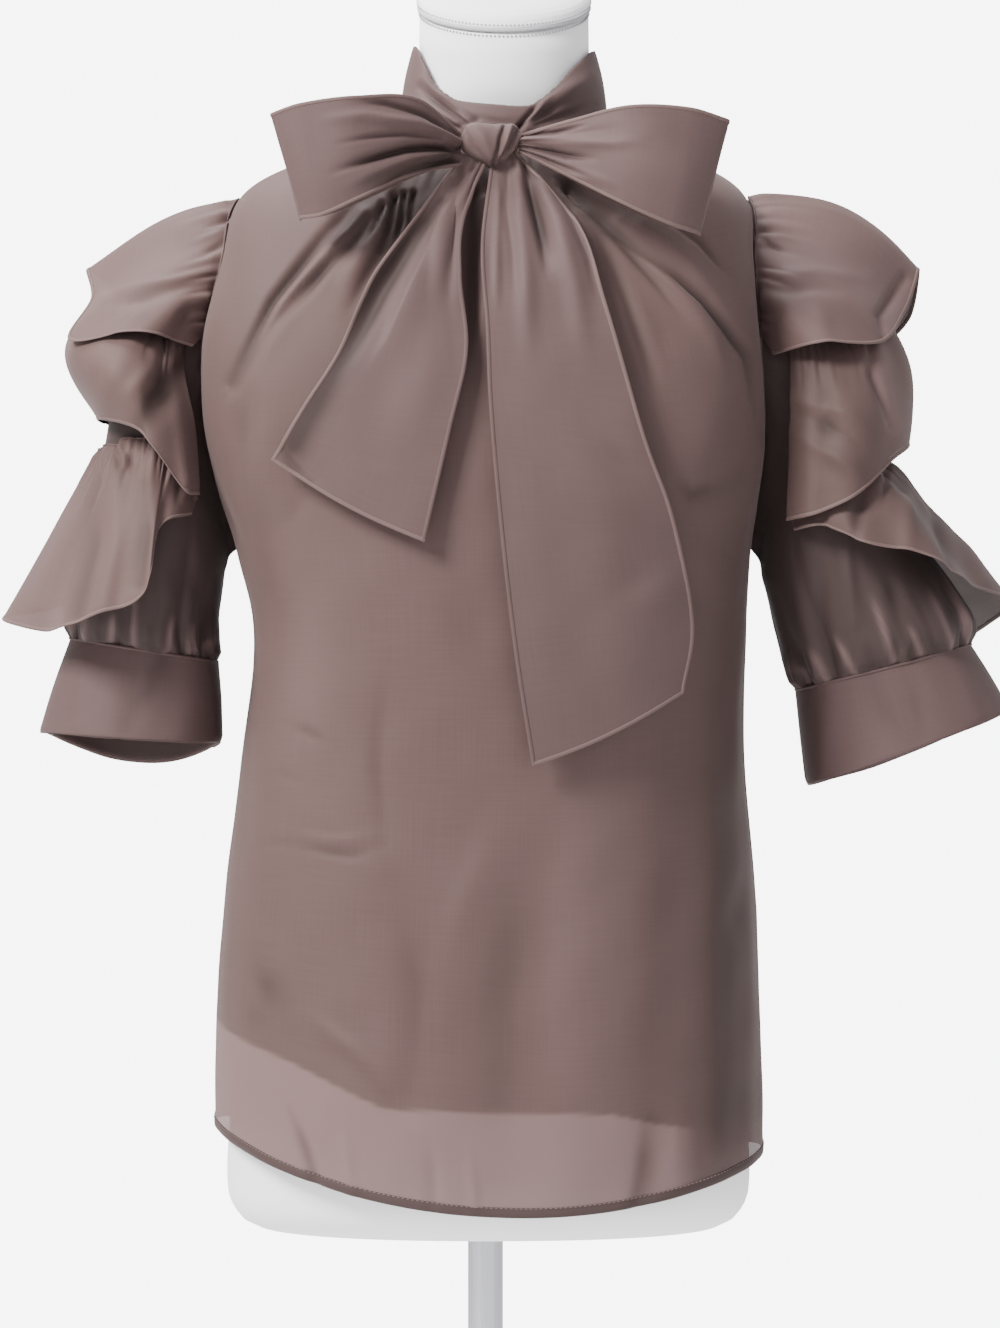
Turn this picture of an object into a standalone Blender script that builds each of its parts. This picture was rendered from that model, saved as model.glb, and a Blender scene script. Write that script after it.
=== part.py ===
"""Sheer bow-neck blouse with three-tier ruffle sleeves, on a limbless dress form.

Metres, +Z up, the front faces -Y, the viewer's right is +X. The origin is on the
floor under the pole. Sizes below are in millimetres and are scaled by MM.
"""
import math
from collections import namedtuple

import bmesh
import bpy
from mathutils import Vector

MM = 0.001

# Cloth walls and gaps
WALL = 1.0
SEAM_GAP = 0.35
LINING_INSET = 3.2
RUFFLE_LIFT = 1.9
TAIL_LIFT = 3.0
GARMENT_SHIFT_X = 2.9

# Dress form
POLE_RADIUS = 11.2
BASE_RADIUS = 165.0
BASE_THICKNESS = 8.0
COLLET_RADIUS = 24.0
COLLET_HEIGHT = 26.0
COLLET_SLOPE = 10.0
BASE_BEVEL = 3.0
STAND_GAP = 0.3
FORM_BOTTOM = 612.0
NECK_CENTRE_X = 9.0
CAP_TILT = math.radians(24.0)
CAP_FOOT_Z = 1389.0
CAP_RINGS = ((0.5, 54.0), (3.5, 55.5), (9.0, 53.5), (13.5, 45.0), (16.5, 25.0))
FORM_SEGMENTS = 24
NECK_LEAN_FROM = 1332.0
NECK_LEAN_TO = 1345.0
NECK_LEAN_RISE = 44.0

# Bodice levels: rows from the neckline to the hem
FRONT_COLUMNS = 36
BACK_COLUMNS = 12
PANEL_ROWS = (0.0, 0.03, 0.08, 0.13, 0.18, 0.225, 0.27, 0.315, 0.36, 0.42, 0.48, 0.54,
              0.62, 0.70, 0.80, 0.90, 1.0)
CENTRE_LINE_ROW = 0.30
FRONT_GATHERS = 9
BACK_GATHERS = 6
GATHER_HEIGHT = 2.6
GATHER_END_ROW = 0.5
GATHER_EDGE_RATE = 8.0
GATHER_AT_NECK = 0.35
GATHER_FULL_ROW = 0.06
ARMHOLE_FOLD_HEIGHT = 3.5
ARMHOLE_FOLD_AT = 0.62
ARMHOLE_FOLD_WIDTH = 0.07
ARMHOLE_FOLD_TOP = 0.10
ARMHOLE_FOLD_FOOT = 0.42
ARMHOLE_FOLD_EASE = 0.10
BODICE_HALF_WIDTH = 170.0
BODICE_HEIGHT = 660.0
HEM_TILT = 0.05
HEM_TILT_ROW = 0.75

BodiceRow = namedtuple("BodiceRow", "row mid_z mid_y side_z side_y left_x right_x power")
FRONT_LEVELS = (
    BodiceRow(0.00, 1292, -66, 1318, -1, -57, 75, 2.0),
    BodiceRow(0.08, 1268, -85, 1296, -1, -104, 116, 2.2),
    BodiceRow(0.18, 1232, -103, 1266, -2, -158, 163, 2.5),
    BodiceRow(0.27, 1196, -117, 1222, -34, -168, 166, 2.8),
    BodiceRow(0.36, 1152, -128, 1166, -44, -180, 170, 3.0),
    BodiceRow(0.45, 1106, -134, 1105, -34, -177, 172, 3.0),
    BodiceRow(0.54, 1050, -136, 1042, -1, -161, 166, 2.8),
    BodiceRow(0.62, 985, -133, 985, -1, -150, 163, 2.6),
    BodiceRow(0.70, 905, -128, 910, -1, -158, 162, 2.4),
    BodiceRow(0.80, 815, -127, 825, -1, -168, 169, 2.4),
    BodiceRow(0.90, 725, -129, 745, -1, -174, 172, 2.4),
    BodiceRow(1.00, 634, -132, 668, -1, -175, 174, 2.4),
)
BACK_LEVELS = (
    BodiceRow(0.00, 1326, 62, 1318, 1, -57, 75, 2.0),
    BodiceRow(0.08, 1300, 80, 1296, 1, -104, 116, 2.2),
    BodiceRow(0.18, 1258, 94, 1266, 2, -158, 163, 2.5),
    BodiceRow(0.27, 1210, 103, 1222, 34, -168, 166, 2.8),
    BodiceRow(0.36, 1158, 108, 1166, 44, -180, 170, 3.0),
    BodiceRow(0.45, 1104, 109, 1105, 34, -177, 172, 3.0),
    BodiceRow(0.54, 1042, 108, 1042, 1, -161, 166, 2.8),
    BodiceRow(0.62, 985, 107, 985, 1, -150, 163, 2.6),
    BodiceRow(0.70, 905, 108, 910, 1, -158, 162, 2.4),
    BodiceRow(0.80, 815, 116, 825, 1, -168, 169, 2.4),
    BodiceRow(0.90, 725, 126, 745, 1, -174, 172, 2.4),
    BodiceRow(1.00, 630, 131, 668, 1, -175, 174, 2.4),
)
SHOULDER_ROW = 0.18
ARMPIT_ROW = 0.54
LINING_LEVELS = (0.27, 0.315, 0.36, 0.42, 0.48, 0.54, 0.62, 0.70, 0.80, 0.925)
LINING_SIDE_RISE = 0.030
LINING_SIDE_SHARE = 0.0235
LINING_SIDE_EASE = 0.6
LINING_GATHER_ROOM = 3.6
LINING_COLUMNS = 16

# Solid torso of the dress form
FormLevel = namedtuple("FormLevel", "z centre_x half_width front back power")
FORM_LEVELS = (
    FormLevel(612, -1, 148, 84, 92, 2.3),
    FormLevel(618, -1, 158, 97, 104, 2.4),
    FormLevel(634, -1, 166, 108, 114, 2.4),
    FormLevel(680, -1, 165, 112, 118, 2.4),
    FormLevel(760, -1, 160, 106, 112, 2.4),
    FormLevel(850, 1, 142, 90, 92, 2.3),
    FormLevel(915, 3, 128, 84, 84, 2.3),
    FormLevel(990, 4, 134, 100, 90, 2.4),
    FormLevel(1050, 4, 141, 118, 94, 2.5),
    FormLevel(1105, 3, 146, 121, 95, 2.5),
    FormLevel(1165, 2, 146, 112, 94, 2.5),
    FormLevel(1215, 2, 149, 99, 89, 2.4),
    FormLevel(1240, 3, 149, 88, 82, 2.3),
    FormLevel(1262, 4, 143, 76, 74, 2.2),
    FormLevel(1280, 5, 124, 64, 66, 2.0),
    FormLevel(1296, 6.6, 99.2, 48, 56, 1.8),
    FormLevel(1308, 8, 77.2, 46, 53, 1.9),
    FormLevel(1317, 9, 64.9, 49, 53, 2.0),
    FormLevel(1332, 9, 55.5, 54, 54, 2.0),
    FormLevel(1345, 9, 54, 54, 54, 2.0),
)

# Collar: height of the top edge and lean, by angle from the front
COLLAR_SEGMENTS = 32
COLLAR_ROWS = 3
COLLAR_GAP_ANGLE = 0.6
CollarSpoke = namedtuple("CollarSpoke", "angle top_z top_reach bulge")
COLLAR_SPOKES = (
    CollarSpoke(-180, 1362, 60, 0),
    CollarSpoke(-120, 1364, 60, 1),
    CollarSpoke(-75, 1363, 58, 2),
    CollarSpoke(-52, 1336, 60, 3),
    CollarSpoke(-30, 1319, 63, 3),
    CollarSpoke(0, 1318, 64, 3),
    CollarSpoke(30, 1317, 63, 3),
    CollarSpoke(52, 1330, 60, 3),
    CollarSpoke(75, 1359, 58, 2),
    CollarSpoke(120, 1364, 60, 1),
    CollarSpoke(180, 1362, 60, 0),
)
COLLAR_SEAM_GAP = 1.0

# Bow loops: front and back layer by station from the knot to the outer end
LoopStation = namedtuple("LoopStation", "reach top_z foot_z front_y back_y")
LEFT_LOOP = (
    LoopStation(17.3, 1295, 1275, -95, -87),
    LoopStation(43, 1313, 1267, -118, -92),
    LoopStation(79, 1312, 1251, -133, -97),
    LoopStation(108, 1308, 1240, -131, -104),
    LoopStation(124, 1303, 1239, -124, -112),
)
RIGHT_LOOP = (
    LoopStation(18.2, 1294, 1283, -95, -87),
    LoopStation(50, 1300, 1264, -120, -92),
    LoopStation(82, 1306, 1247, -135, -96),
    LoopStation(115, 1305, 1234, -134, -102),
    LoopStation(137, 1299, 1229, -126, -112),
)
LOOP_LENGTH_STEPS = 9
LOOP_WIDTH_STEPS = 6
LOOP_END_SLANT = 9.0
LOOP_FOLDS = 2.5
LOOP_FOLD_HEIGHT = 2.56
LOOP_FOLD_PHASE = 0.6

# Knot
KNOT_CENTRE = (0.5, -91.2, 1287.0)
KNOT_HALF = (18.0, 14.0, 15.5)
KNOT_TILT = math.radians(-20.0)
KNOT_TWIST_LOBES = 5
KNOT_TWIST = 2.2
KNOT_LOBE_DEPTH = 0.07
KNOT_WAIST = 0.12

# Bow tails: edges from the knot to the cut end
TailRow = namedtuple("TailRow", "row left_x left_z right_x right_z lift")
LEFT_TAIL = (
    TailRow(0.00, -17, 1273.9, -1, 1271.4, 6),
    TailRow(0.12, -42, 1245, -15, 1238, 7),
    TailRow(0.30, -71, 1204, -17, 1204, 7),
    TailRow(0.50, -92, 1157, -13, 1159, 7),
    TailRow(0.74, -113, 1124, -23, 1111, 7),
    TailRow(1.00, -132, 1092, -39, 1042, 8),
)
RIGHT_TAIL = (
    TailRow(0.00, 1, 1270.9, 16, 1273.9, 6),
    TailRow(0.12, -5, 1222, 54, 1238, 9),
    TailRow(0.26, -2, 1173, 71, 1186, 9),
    TailRow(0.42, 0, 1126, 93, 1108, 9),
    TailRow(0.62, 6, 1055, 111, 1058, 9),
    TailRow(0.82, 15, 977, 124, 995, 9),
    TailRow(1.00, 26, 907, 118, 951, 10),
)
TAIL_COLUMNS = 10
TAIL_ROWS = 12
TAIL_PLEAT_HEIGHT = 3.4
TAIL_PLEAT_FADE = 0.75
TAIL_END_SAG = 4.0
TAIL_KNOT_ROW = 0.14

# Sleeves: outer and inner line of the puff from the armhole to the cuff seam
SleeveRing = namedtuple("SleeveRing", "t outer_x outer_z inner_x inner_z half_depth")
LEFT_SLEEVE = (
    SleeveRing(0.00, -158, 1266, -161, 1042, 44),
    SleeveRing(0.12, -196, 1250, -166, 1038, 50),
    SleeveRing(0.28, -228, 1206, -168, 1032, 56),
    SleeveRing(0.48, -240, 1140, -171, 1020, 58),
    SleeveRing(0.70, -256, 1062, -174, 1004, 58),
    SleeveRing(0.88, -270, 1006, -175, 983, 56),
    SleeveRing(1.00, -268, 986, -175, 971, 48),
)
RIGHT_SLEEVE = (
    SleeveRing(0.00, 163, 1266, 166, 1042, 44),
    SleeveRing(0.12, 202, 1252, 172, 1034, 50),
    SleeveRing(0.28, 232, 1206, 174, 1024, 56),
    SleeveRing(0.48, 241, 1140, 178, 1008, 58),
    SleeveRing(0.70, 266, 1062, 184, 988, 60),
    SleeveRing(0.88, 306, 1003, 190, 966, 58),
    SleeveRing(1.00, 307, 982, 196, 953, 50),
)
SLEEVE_SEGMENTS = 40
SLEEVE_ROWS = 8
CUFF_GATHERS = 13
CUFF_GATHER_HEIGHT = 1.8
CUFF_GATHER_FROM = 0.72
ARMHOLE_GAP = 1.25
SEAM_EASE_ANGLE = 8.0

# Cuffs: outer and inner line, top to bottom; the back edge hangs lower
CuffRing = namedtuple("CuffRing", "t outer_x outer_z inner_x inner_z half_depth back_drop")
LEFT_CUFF = (
    CuffRing(0.0, -268.5, 985.3, -174.7, 970.3, 48.5, 0),
    CuffRing(0.5, -279, 955, -173, 944, 53, 8),
    CuffRing(1.0, -288, 925, -172, 918, 57, 18),
)
RIGHT_CUFF = (
    CuffRing(0.0, 307.5, 981.3, 195.7, 952.3, 50.5, 0),
    CuffRing(0.5, 321, 960, 199, 921, 55, 4),
    CuffRing(1.0, 333, 940, 203, 891, 59, 9),
)
CUFF_SEGMENTS = 28
CUFF_ROWS = 3

# Ruffles: spokes from the sleeve to the free hem, front to back round the outside.
# The angle runs round the sleeve: 180 inner, 90 front, 0 outer, -90 back.
Spoke = namedtuple("Spoke", "angle top_t hem_x hem_y hem_z bulge")
RUFFLES = {
    "ruffle_1_left": (
        Spoke(84, 0.004, -186, -56, 1167, 1),
        Spoke(66, 0.004, -216, -78, 1174, 7),
        Spoke(46, 0.004, -264, -58, 1172, 9),
        Spoke(24, 0.004, -252, -24, 1200, 7),
        Spoke(0, 0.004, -262, 4, 1226, 8),
        Spoke(-24, 0.004, -268, 40, 1196, 8),
        Spoke(-46, 0.004, -246, 74, 1176, 9),
        Spoke(-66, 0.004, -214, 80, 1170, 7),
        Spoke(-84, 0.004, -186, 56, 1166, 1),
    ),
    "ruffle_2_left": (
        Spoke(76, 0.09, -181, -64, 1074, 6),
        Spoke(68, 0.16, -190, -84, 1077, 12),
        Spoke(56, 0.22, -213, -88, 1109, 19),
        Spoke(34, 0.26, -240, -62, 1121, 30),
        Spoke(0, 0.28, -246, 0, 1123, 34),
        Spoke(-34, 0.26, -240, 64, 1118, 30),
        Spoke(-56, 0.22, -214, 88, 1104, 20),
        Spoke(-68, 0.16, -194, 84, 1082, 12),
        Spoke(-76, 0.09, -183, 64, 1076, 6),
    ),
    "ruffle_3_left": (
        Spoke(125, 0.30, -186, -60, 1062, 0),
        Spoke(102, 0.32, -204, -82, 1053, 2),
        Spoke(86, 0.37, -212, -98, 1012, 3),
        Spoke(66, 0.46, -242, -92, 999, 3),
        Spoke(36, 0.55, -278, -64, 989, 2),
        Spoke(0, 0.58, -309, 0, 998, 0),
        Spoke(-36, 0.55, -292, 62, 985, 2),
        Spoke(-66, 0.46, -246, 92, 992, 3),
        Spoke(-92, 0.35, -210, 84, 1030, 3),
        Spoke(-125, 0.30, -186, 60, 1062, 0),
    ),
    "ruffle_1_right": (
        Spoke(84, 0.004, 177, -56, 1162, 1),
        Spoke(66, 0.004, 206, -80, 1167, 8),
        Spoke(46, 0.004, 245, -62, 1170, 14),
        Spoke(24, 0.004, 262, -26, 1190, 18),
        Spoke(0, 0.004, 276, 6, 1222, 19),
        Spoke(-24, 0.004, 274, 42, 1194, 16),
        Spoke(-46, 0.004, 250, 74, 1174, 12),
        Spoke(-66, 0.004, 212, 80, 1168, 8),
        Spoke(-84, 0.004, 177, 56, 1162, 1),
    ),
    "ruffle_2_right": (
        Spoke(76, 0.09, 185, -64, 1058, 6),
        Spoke(68, 0.16, 204, -84, 1062, 12),
        Spoke(56, 0.22, 226, -86, 1073, 15),
        Spoke(34, 0.26, 254, -60, 1097, 16),
        Spoke(0, 0.28, 266, 0, 1108, 18),
        Spoke(-34, 0.26, 256, 62, 1099, 16),
        Spoke(-56, 0.22, 228, 86, 1080, 15),
        Spoke(-68, 0.16, 206, 84, 1066, 12),
        Spoke(-76, 0.09, 187, 64, 1060, 6),
    ),
    "ruffle_3_right": (
        Spoke(125, 0.30, 190, -60, 1052, 0),
        Spoke(104, 0.32, 208, -80, 1054, 2),
        Spoke(88, 0.37, 232, -92, 1043, 3),
        Spoke(66, 0.46, 268, -90, 1036, 4),
        Spoke(36, 0.57, 304, -62, 1018, 3),
        Spoke(0, 0.60, 332, 0, 1006, 2),
        Spoke(-36, 0.57, 316, 62, 988, 3),
        Spoke(-66, 0.46, 272, 92, 992, 4),
        Spoke(-92, 0.35, 226, 84, 1024, 3),
        Spoke(-125, 0.30, 192, 60, 1050, 0),
    ),
}
Keyed = namedtuple("Keyed", "u value")
RUFFLE_COLUMNS = 24
RUFFLE_ROWS = 5
BULGE_SKEW = 0.8
RUFFLE_WAVES = {"1": 3, "2": 5, "3": 6}
RUFFLE_WAVE_HEIGHT = {"1": 1.6, "2": 2.2, "3": 3.4}

# Button behind the neck
BUTTON_RADIUS = 5.0
BUTTON_FACE_RADIUS = 4.2
BUTTON_THICKNESS = 2.2
BUTTON_STAND = 2.4

Finish = namedtuple("Finish", "colour roughness metallic")
FINISHES = {
    "organza": Finish((0.235, 0.165, 0.160), 0.55, 0.0),
    "lining": Finish((0.190, 0.130, 0.125), 0.60, 0.0),
    "jersey": Finish((0.800, 0.800, 0.815), 0.80, 0.0),
    "satin_steel": Finish((0.560, 0.570, 0.600), 0.35, 1.0),
    "button": Finish((0.260, 0.190, 0.185), 0.35, 0.0),
}


def clear_scene():
    for old in list(bpy.data.objects):
        bpy.data.objects.remove(old)


def make_materials():
    made = {}
    for name, finish in FINISHES.items():
        material = bpy.data.materials.new(name)
        material.use_nodes = True
        shader = material.node_tree.nodes["Principled BSDF"]
        shader.inputs["Base Color"].default_value = (*finish.colour, 1.0)
        shader.inputs["Roughness"].default_value = finish.roughness
        shader.inputs["Metallic"].default_value = finish.metallic
        made[name] = material
    return made


def interpolate(rows, key, value, column):
    """Smooth value of a table's column, by cubic pieces through its rows."""
    keys = [getattr(row, key) for row in rows]
    values = [getattr(row, column) for row in rows]
    if keys[0] > keys[-1]:
        keys.reverse()
        values.reverse()
    if value <= keys[0]:
        return values[0]
    if value >= keys[-1]:
        return values[-1]
    high = next(i for i, k in enumerate(keys) if k > value)
    low = high - 1
    span = keys[high] - keys[low]

    def slope(i):
        first = max(i - 1, 0)
        last = min(i + 1, len(keys) - 1)
        return (values[last] - values[first]) / (keys[last] - keys[first])

    s = (value - keys[low]) / span
    start = (2 * s ** 3 - 3 * s ** 2 + 1) * values[low]
    start += (s ** 3 - 2 * s ** 2 + s) * span * slope(low)
    end = (3 * s ** 2 - 2 * s ** 3) * values[high]
    end += (s ** 3 - s ** 2) * span * slope(high)
    return start + end


def clamp(value, low=0.0, high=1.0):
    return max(low, min(high, value))


def mix(a, b, s):
    return a + (b - a) * s


class Builder:
    """Makes the named objects and puts them in the blouse's collection."""

    def __init__(self):
        self.materials = make_materials()
        self.collection = bpy.data.collections.new("bow_blouse_on_form")
        bpy.context.scene.collection.children.link(self.collection)
        self.garment = bpy.data.objects.new("garment", None)
        self.garment.location.x = GARMENT_SHIFT_X * MM
        self.collection.objects.link(self.garment)

    def add(self, name, bm, finish, smooth=True):
        mesh = bpy.data.meshes.new(name)
        bm.to_mesh(mesh)
        bm.free()
        mesh.materials.append(self.materials[finish])
        if smooth:
            mesh.shade_smooth()
        made = bpy.data.objects.new(name, mesh)
        self.collection.objects.link(made)
        made.parent = self.garment
        return made

    def sheet(self, name, surface, columns, rows, finish="organza", wall=WALL,
              closed=False):
        """A cloth wall: surface(u, v) in mm on a grid, thickened by Solidify."""
        bm = bmesh.new()
        bmesh.ops.create_grid(bm, x_segments=columns, y_segments=rows, size=1.0)
        for vert in bm.verts:
            u = (vert.co.x + 1.0) / 2.0
            v = (vert.co.y + 1.0) / 2.0
            vert.co = Vector(surface(u, v)) * MM
        if closed:
            bmesh.ops.remove_doubles(bm, verts=bm.verts, dist=0.00001)
        made = self.add(name, bm, finish)
        solid = made.modifiers.new("wall", "SOLIDIFY")
        solid.thickness = wall * MM
        solid.offset = 0.0
        return made

    def panel(self, name, surface, columns, rows, finish, trim):
        """A cloth wall whose points are then kept on their side of its seams."""
        made = self.sheet(name, surface, columns, rows, finish)
        context = bpy.context.evaluated_depsgraph_get()
        open_mesh = made.data
        made.data = bpy.data.meshes.new_from_object(made.evaluated_get(context))
        made.modifiers.clear()
        bpy.data.meshes.remove(open_mesh)
        for vert in made.data.vertices:
            vert.co = trim(vert.co / MM) * MM
        return made


def bodice_point(levels, u, v, gathers):
    """Point of a bodice panel: u from -1 (left edge) to 1 (right edge), v neck to hem."""
    at = {c: interpolate(levels, "row", v, c) for c in BodiceRow._fields[1:]}
    blend = clamp((v - SHOULDER_ROW) / (ARMPIT_ROW - SHOULDER_ROW))
    neck_blend = clamp(1.0 - v / SHOULDER_ROW)
    rounded = max(blend, neck_blend)
    across = mix(u, math.sin(u * math.pi / 2.0), rounded)
    centre = NECK_CENTRE_X * clamp(1.0 - v / CENTRE_LINE_ROW)
    half = at["right_x"] - centre if across > 0.0 else centre - at["left_x"]
    reach = abs(across)
    bow = clamp(1.0 - reach ** at["power"]) ** (1.0 / at["power"])
    x = centre + half * across
    y = at["side_y"] + (at["mid_y"] - at["side_y"]) * bow
    z = at["mid_z"] + (at["side_z"] - at["mid_z"]) * reach ** 2
    z -= HEM_TILT * x * clamp((v - HEM_TILT_ROW) / (1.0 - HEM_TILT_ROW))
    fade = clamp(1.0 - v / GATHER_END_ROW) ** 1.5 * clamp((1.0 - reach) * GATHER_EDGE_RATE)
    fade *= mix(GATHER_AT_NECK, 1.0, clamp(v / GATHER_FULL_ROW))
    ripple = math.cos(u * gathers * math.pi) * GATHER_HEIGHT * fade
    forward = -1.0 if at["mid_y"] < 0.0 else 1.0
    return (x, y + forward * ripple, z)


def front_point(u, v):
    x, y, z = bodice_point(FRONT_LEVELS, u, v, FRONT_GATHERS)
    fold = ARMHOLE_FOLD_HEIGHT
    fold *= math.exp(-((abs(u) - ARMHOLE_FOLD_AT) / ARMHOLE_FOLD_WIDTH) ** 2)
    fold *= clamp((v - ARMHOLE_FOLD_TOP) / ARMHOLE_FOLD_EASE)
    fold *= clamp((ARMHOLE_FOLD_FOOT - v) / ARMHOLE_FOLD_EASE)
    return (x, y - fold, z)


def front_depth_at(x, z):
    """The front panel's y at a place, found by closing in on its u and v."""
    u = clamp(x / BODICE_HALF_WIDTH, -0.95, 0.95)
    v = 0.4
    for _ in range(14):
        px, _, pz = front_point(u, v)
        low = interpolate(FRONT_LEVELS, "row", v, "left_x")
        high = interpolate(FRONT_LEVELS, "row", v, "right_x")
        u = clamp(u + 1.2 * (x - px) / (high - low), -0.98, 0.98)
        v = clamp(v + 0.9 * (pz - z) / BODICE_HEIGHT)
    return front_point(u, v)[1]


def panel_row(v):
    """Row of the panel's levels for a share of its grid, so that corners keep a row."""
    place = v * (len(PANEL_ROWS) - 1)
    low = min(int(place), len(PANEL_ROWS) - 2)
    return mix(PANEL_ROWS[low], PANEL_ROWS[low + 1], place - low)


def trim_front(point):
    """Keep the front panel on its own side of the shoulder and side seams."""
    return Vector((point.x, min(point.y, -SEAM_GAP), point.z))


def trim_back(point):
    return Vector((point.x, max(point.y, SEAM_GAP), point.z))


def make_bodice(build):
    rows = len(PANEL_ROWS) - 1

    def front(u, v):
        return front_point(2.0 * u - 1.0, panel_row(1.0 - v))

    build.panel("front", front, FRONT_COLUMNS, rows, "organza", trim_front)
    for name, sign in (("back_left", -1.0), ("back_right", 1.0)):
        def back(u, v, sign=sign):
            row = panel_row(1.0 - v)
            x, y, z = bodice_point(BACK_LEVELS, sign * u, row, BACK_GATHERS)
            return (x + sign * SEAM_GAP * (1.0 - u), y, z)

        build.panel(name, back, BACK_COLUMNS, rows, "organza", trim_back)


def lining_point(levels, u, v):
    """Point of the lining, a smooth inner copy of the bodice that ends above its hem."""
    place = v * (len(LINING_LEVELS) - 1)
    low = min(int(place), len(LINING_LEVELS) - 2)
    row = mix(LINING_LEVELS[low], LINING_LEVELS[low + 1], place - low)
    row -= LINING_SIDE_RISE * abs(u) ** 2 * v ** 6
    x, y, z = bodice_point(levels, u, row, 0)
    at_side = abs(u) ** 2
    x *= 1.0 - LINING_SIDE_SHARE * at_side
    ease = LINING_INSET * (1.0 - LINING_SIDE_EASE * at_side)
    ease += LINING_GATHER_ROOM * clamp(1.0 - row / GATHER_END_ROW)
    forward = -1.0 if y < 0.0 else 1.0
    return (x, y - forward * ease, z)


def make_lining(build):
    for name, levels in (("lining_front", FRONT_LEVELS), ("lining_back", BACK_LEVELS)):
        def inner(u, v, levels=levels):
            return lining_point(levels, 2.0 * u - 1.0, 1.0 - v)
        trim = trim_front if name == "lining_front" else trim_back
        build.panel(name, inner, LINING_COLUMNS, len(LINING_LEVELS) - 1, "lining", trim)


def collar_point(angle, v):
    """Point of the stand collar, by angle from the front in degrees, v foot to top."""
    at = {c: interpolate(COLLAR_SPOKES, "angle", angle, c) for c in CollarSpoke._fields[1:]}
    levels = FRONT_LEVELS if abs(angle) <= 90.0 else BACK_LEVELS
    from_middle = angle if abs(angle) <= 90.0 else math.copysign(180.0, angle) - angle
    foot = Vector(bodice_point(levels, from_middle / 90.0, 0.0, 0))
    foot.z += COLLAR_SEAM_GAP
    turn = math.radians(angle)
    outward = Vector((math.sin(turn), -math.cos(turn), 0.0))
    top = Vector((NECK_CENTRE_X, 0.0, at["top_z"])) + outward * at["top_reach"]
    return foot.lerp(top, v) + outward * at["bulge"] * math.sin(v * math.pi)


def make_collar(build):
    def surface(u, v):
        angle = mix(-180.0 + COLLAR_GAP_ANGLE, 180.0 - COLLAR_GAP_ANGLE, u)
        return collar_point(angle, v)

    build.sheet("collar", surface, COLLAR_SEGMENTS, COLLAR_ROWS, wall=1.6)


def loop_point(stations, sign, u, v):
    """Point of a bow loop: u goes out along the front layer and home along the back."""
    out = 1.0 - abs(2.0 * u - 1.0)
    along = math.sin(out * math.pi / 2.0)
    key = mix(stations[0].reach, stations[-1].reach, along)
    top = interpolate(stations, "reach", key, "top_z")
    foot = interpolate(stations, "reach", key, "foot_z")
    front = interpolate(stations, "reach", key, "front_y")
    back = interpolate(stations, "reach", key, "back_y")
    middle = (front + back) / 2.0
    half = (front - back) / 2.0
    end_round = math.sqrt(clamp(1.0 - out ** 6))
    layer = 1.0 if u < 0.5 else -1.0
    fold = LOOP_FOLD_HEIGHT * math.sin(v * LOOP_FOLDS * 2.0 * math.pi + LOOP_FOLD_PHASE)
    fold *= (1.0 - along) ** 0.5 * clamp(out * 6.0)
    y = middle + layer * half * end_round - fold
    slant = LOOP_END_SLANT * (2.0 * v - 1.0) * along ** 2
    return (sign * (key + slant), y, mix(foot, top, v))


def make_knot(build):
    """A squashed ball with twisted lobes, where the tie crosses itself."""
    bm = bmesh.new()
    bmesh.ops.create_uvsphere(bm, u_segments=18, v_segments=10, radius=1.0)
    for vert in bm.verts:
        x, z, y = vert.co
        round_angle = math.atan2(y, z)
        lobes = 1.0 + KNOT_LOBE_DEPTH * math.sin(KNOT_TWIST_LOBES * round_angle
                                                 + KNOT_TWIST * x)
        waist = 1.0 - KNOT_WAIST * x * x
        px = KNOT_HALF[0] * x
        py = KNOT_HALF[1] * y * lobes * waist
        pz = KNOT_HALF[2] * z * lobes * waist
        turned_x = px * math.cos(KNOT_TILT) - pz * math.sin(KNOT_TILT)
        turned_z = px * math.sin(KNOT_TILT) + pz * math.cos(KNOT_TILT)
        vert.co = (Vector((turned_x, py, turned_z)) + Vector(KNOT_CENTRE)) * MM
    bmesh.ops.recalc_face_normals(bm, faces=bm.faces)
    build.add("bow_knot", bm, "organza")


def tail_point(rows, u, v, pleats):
    """Point of a bow tail that hangs over the front panel, u left to right, v down."""
    left_x = interpolate(rows, "row", v, "left_x")
    right_x = interpolate(rows, "row", v, "right_x")
    left_z = interpolate(rows, "row", v, "left_z")
    right_z = interpolate(rows, "row", v, "right_z")
    lift = interpolate(rows, "row", v, "lift")
    x = mix(left_x, right_x, u)
    z = mix(left_z, right_z, u) - TAIL_END_SAG * math.sin(u * math.pi) * v ** 3
    fold = TAIL_PLEAT_HEIGHT * math.cos(u * pleats * 2.0 * math.pi)
    fold *= 1.0 - TAIL_PLEAT_FADE * v
    at_knot = clamp(1.0 - v / TAIL_KNOT_ROW)
    y = front_depth_at(x, z) - lift - TAIL_LIFT - fold * (1.0 - at_knot)
    return (x, mix(y, KNOT_CENTRE[1] - 1.0, at_knot ** 2), z)


def make_bow(build):
    make_knot(build)
    for name, stations, sign in (("bow_loop_left", LEFT_LOOP, -1.0),
                                 ("bow_loop_right", RIGHT_LOOP, 1.0)):
        def loop(u, v, stations=stations, sign=sign):
            return loop_point(stations, sign, u, v)
        build.sheet(name, loop, 2 * LOOP_LENGTH_STEPS, LOOP_WIDTH_STEPS, wall=1.2)
    for name, rows, pleats in (("bow_tail_left", LEFT_TAIL, 1.5),
                               ("bow_tail_right", RIGHT_TAIL, 2.5)):
        def tail(u, v, rows=rows, pleats=pleats):
            return tail_point(rows, u, 1.0 - v, pleats)
        build.sheet(name, tail, TAIL_COLUMNS, TAIL_ROWS, wall=1.2)


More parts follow.
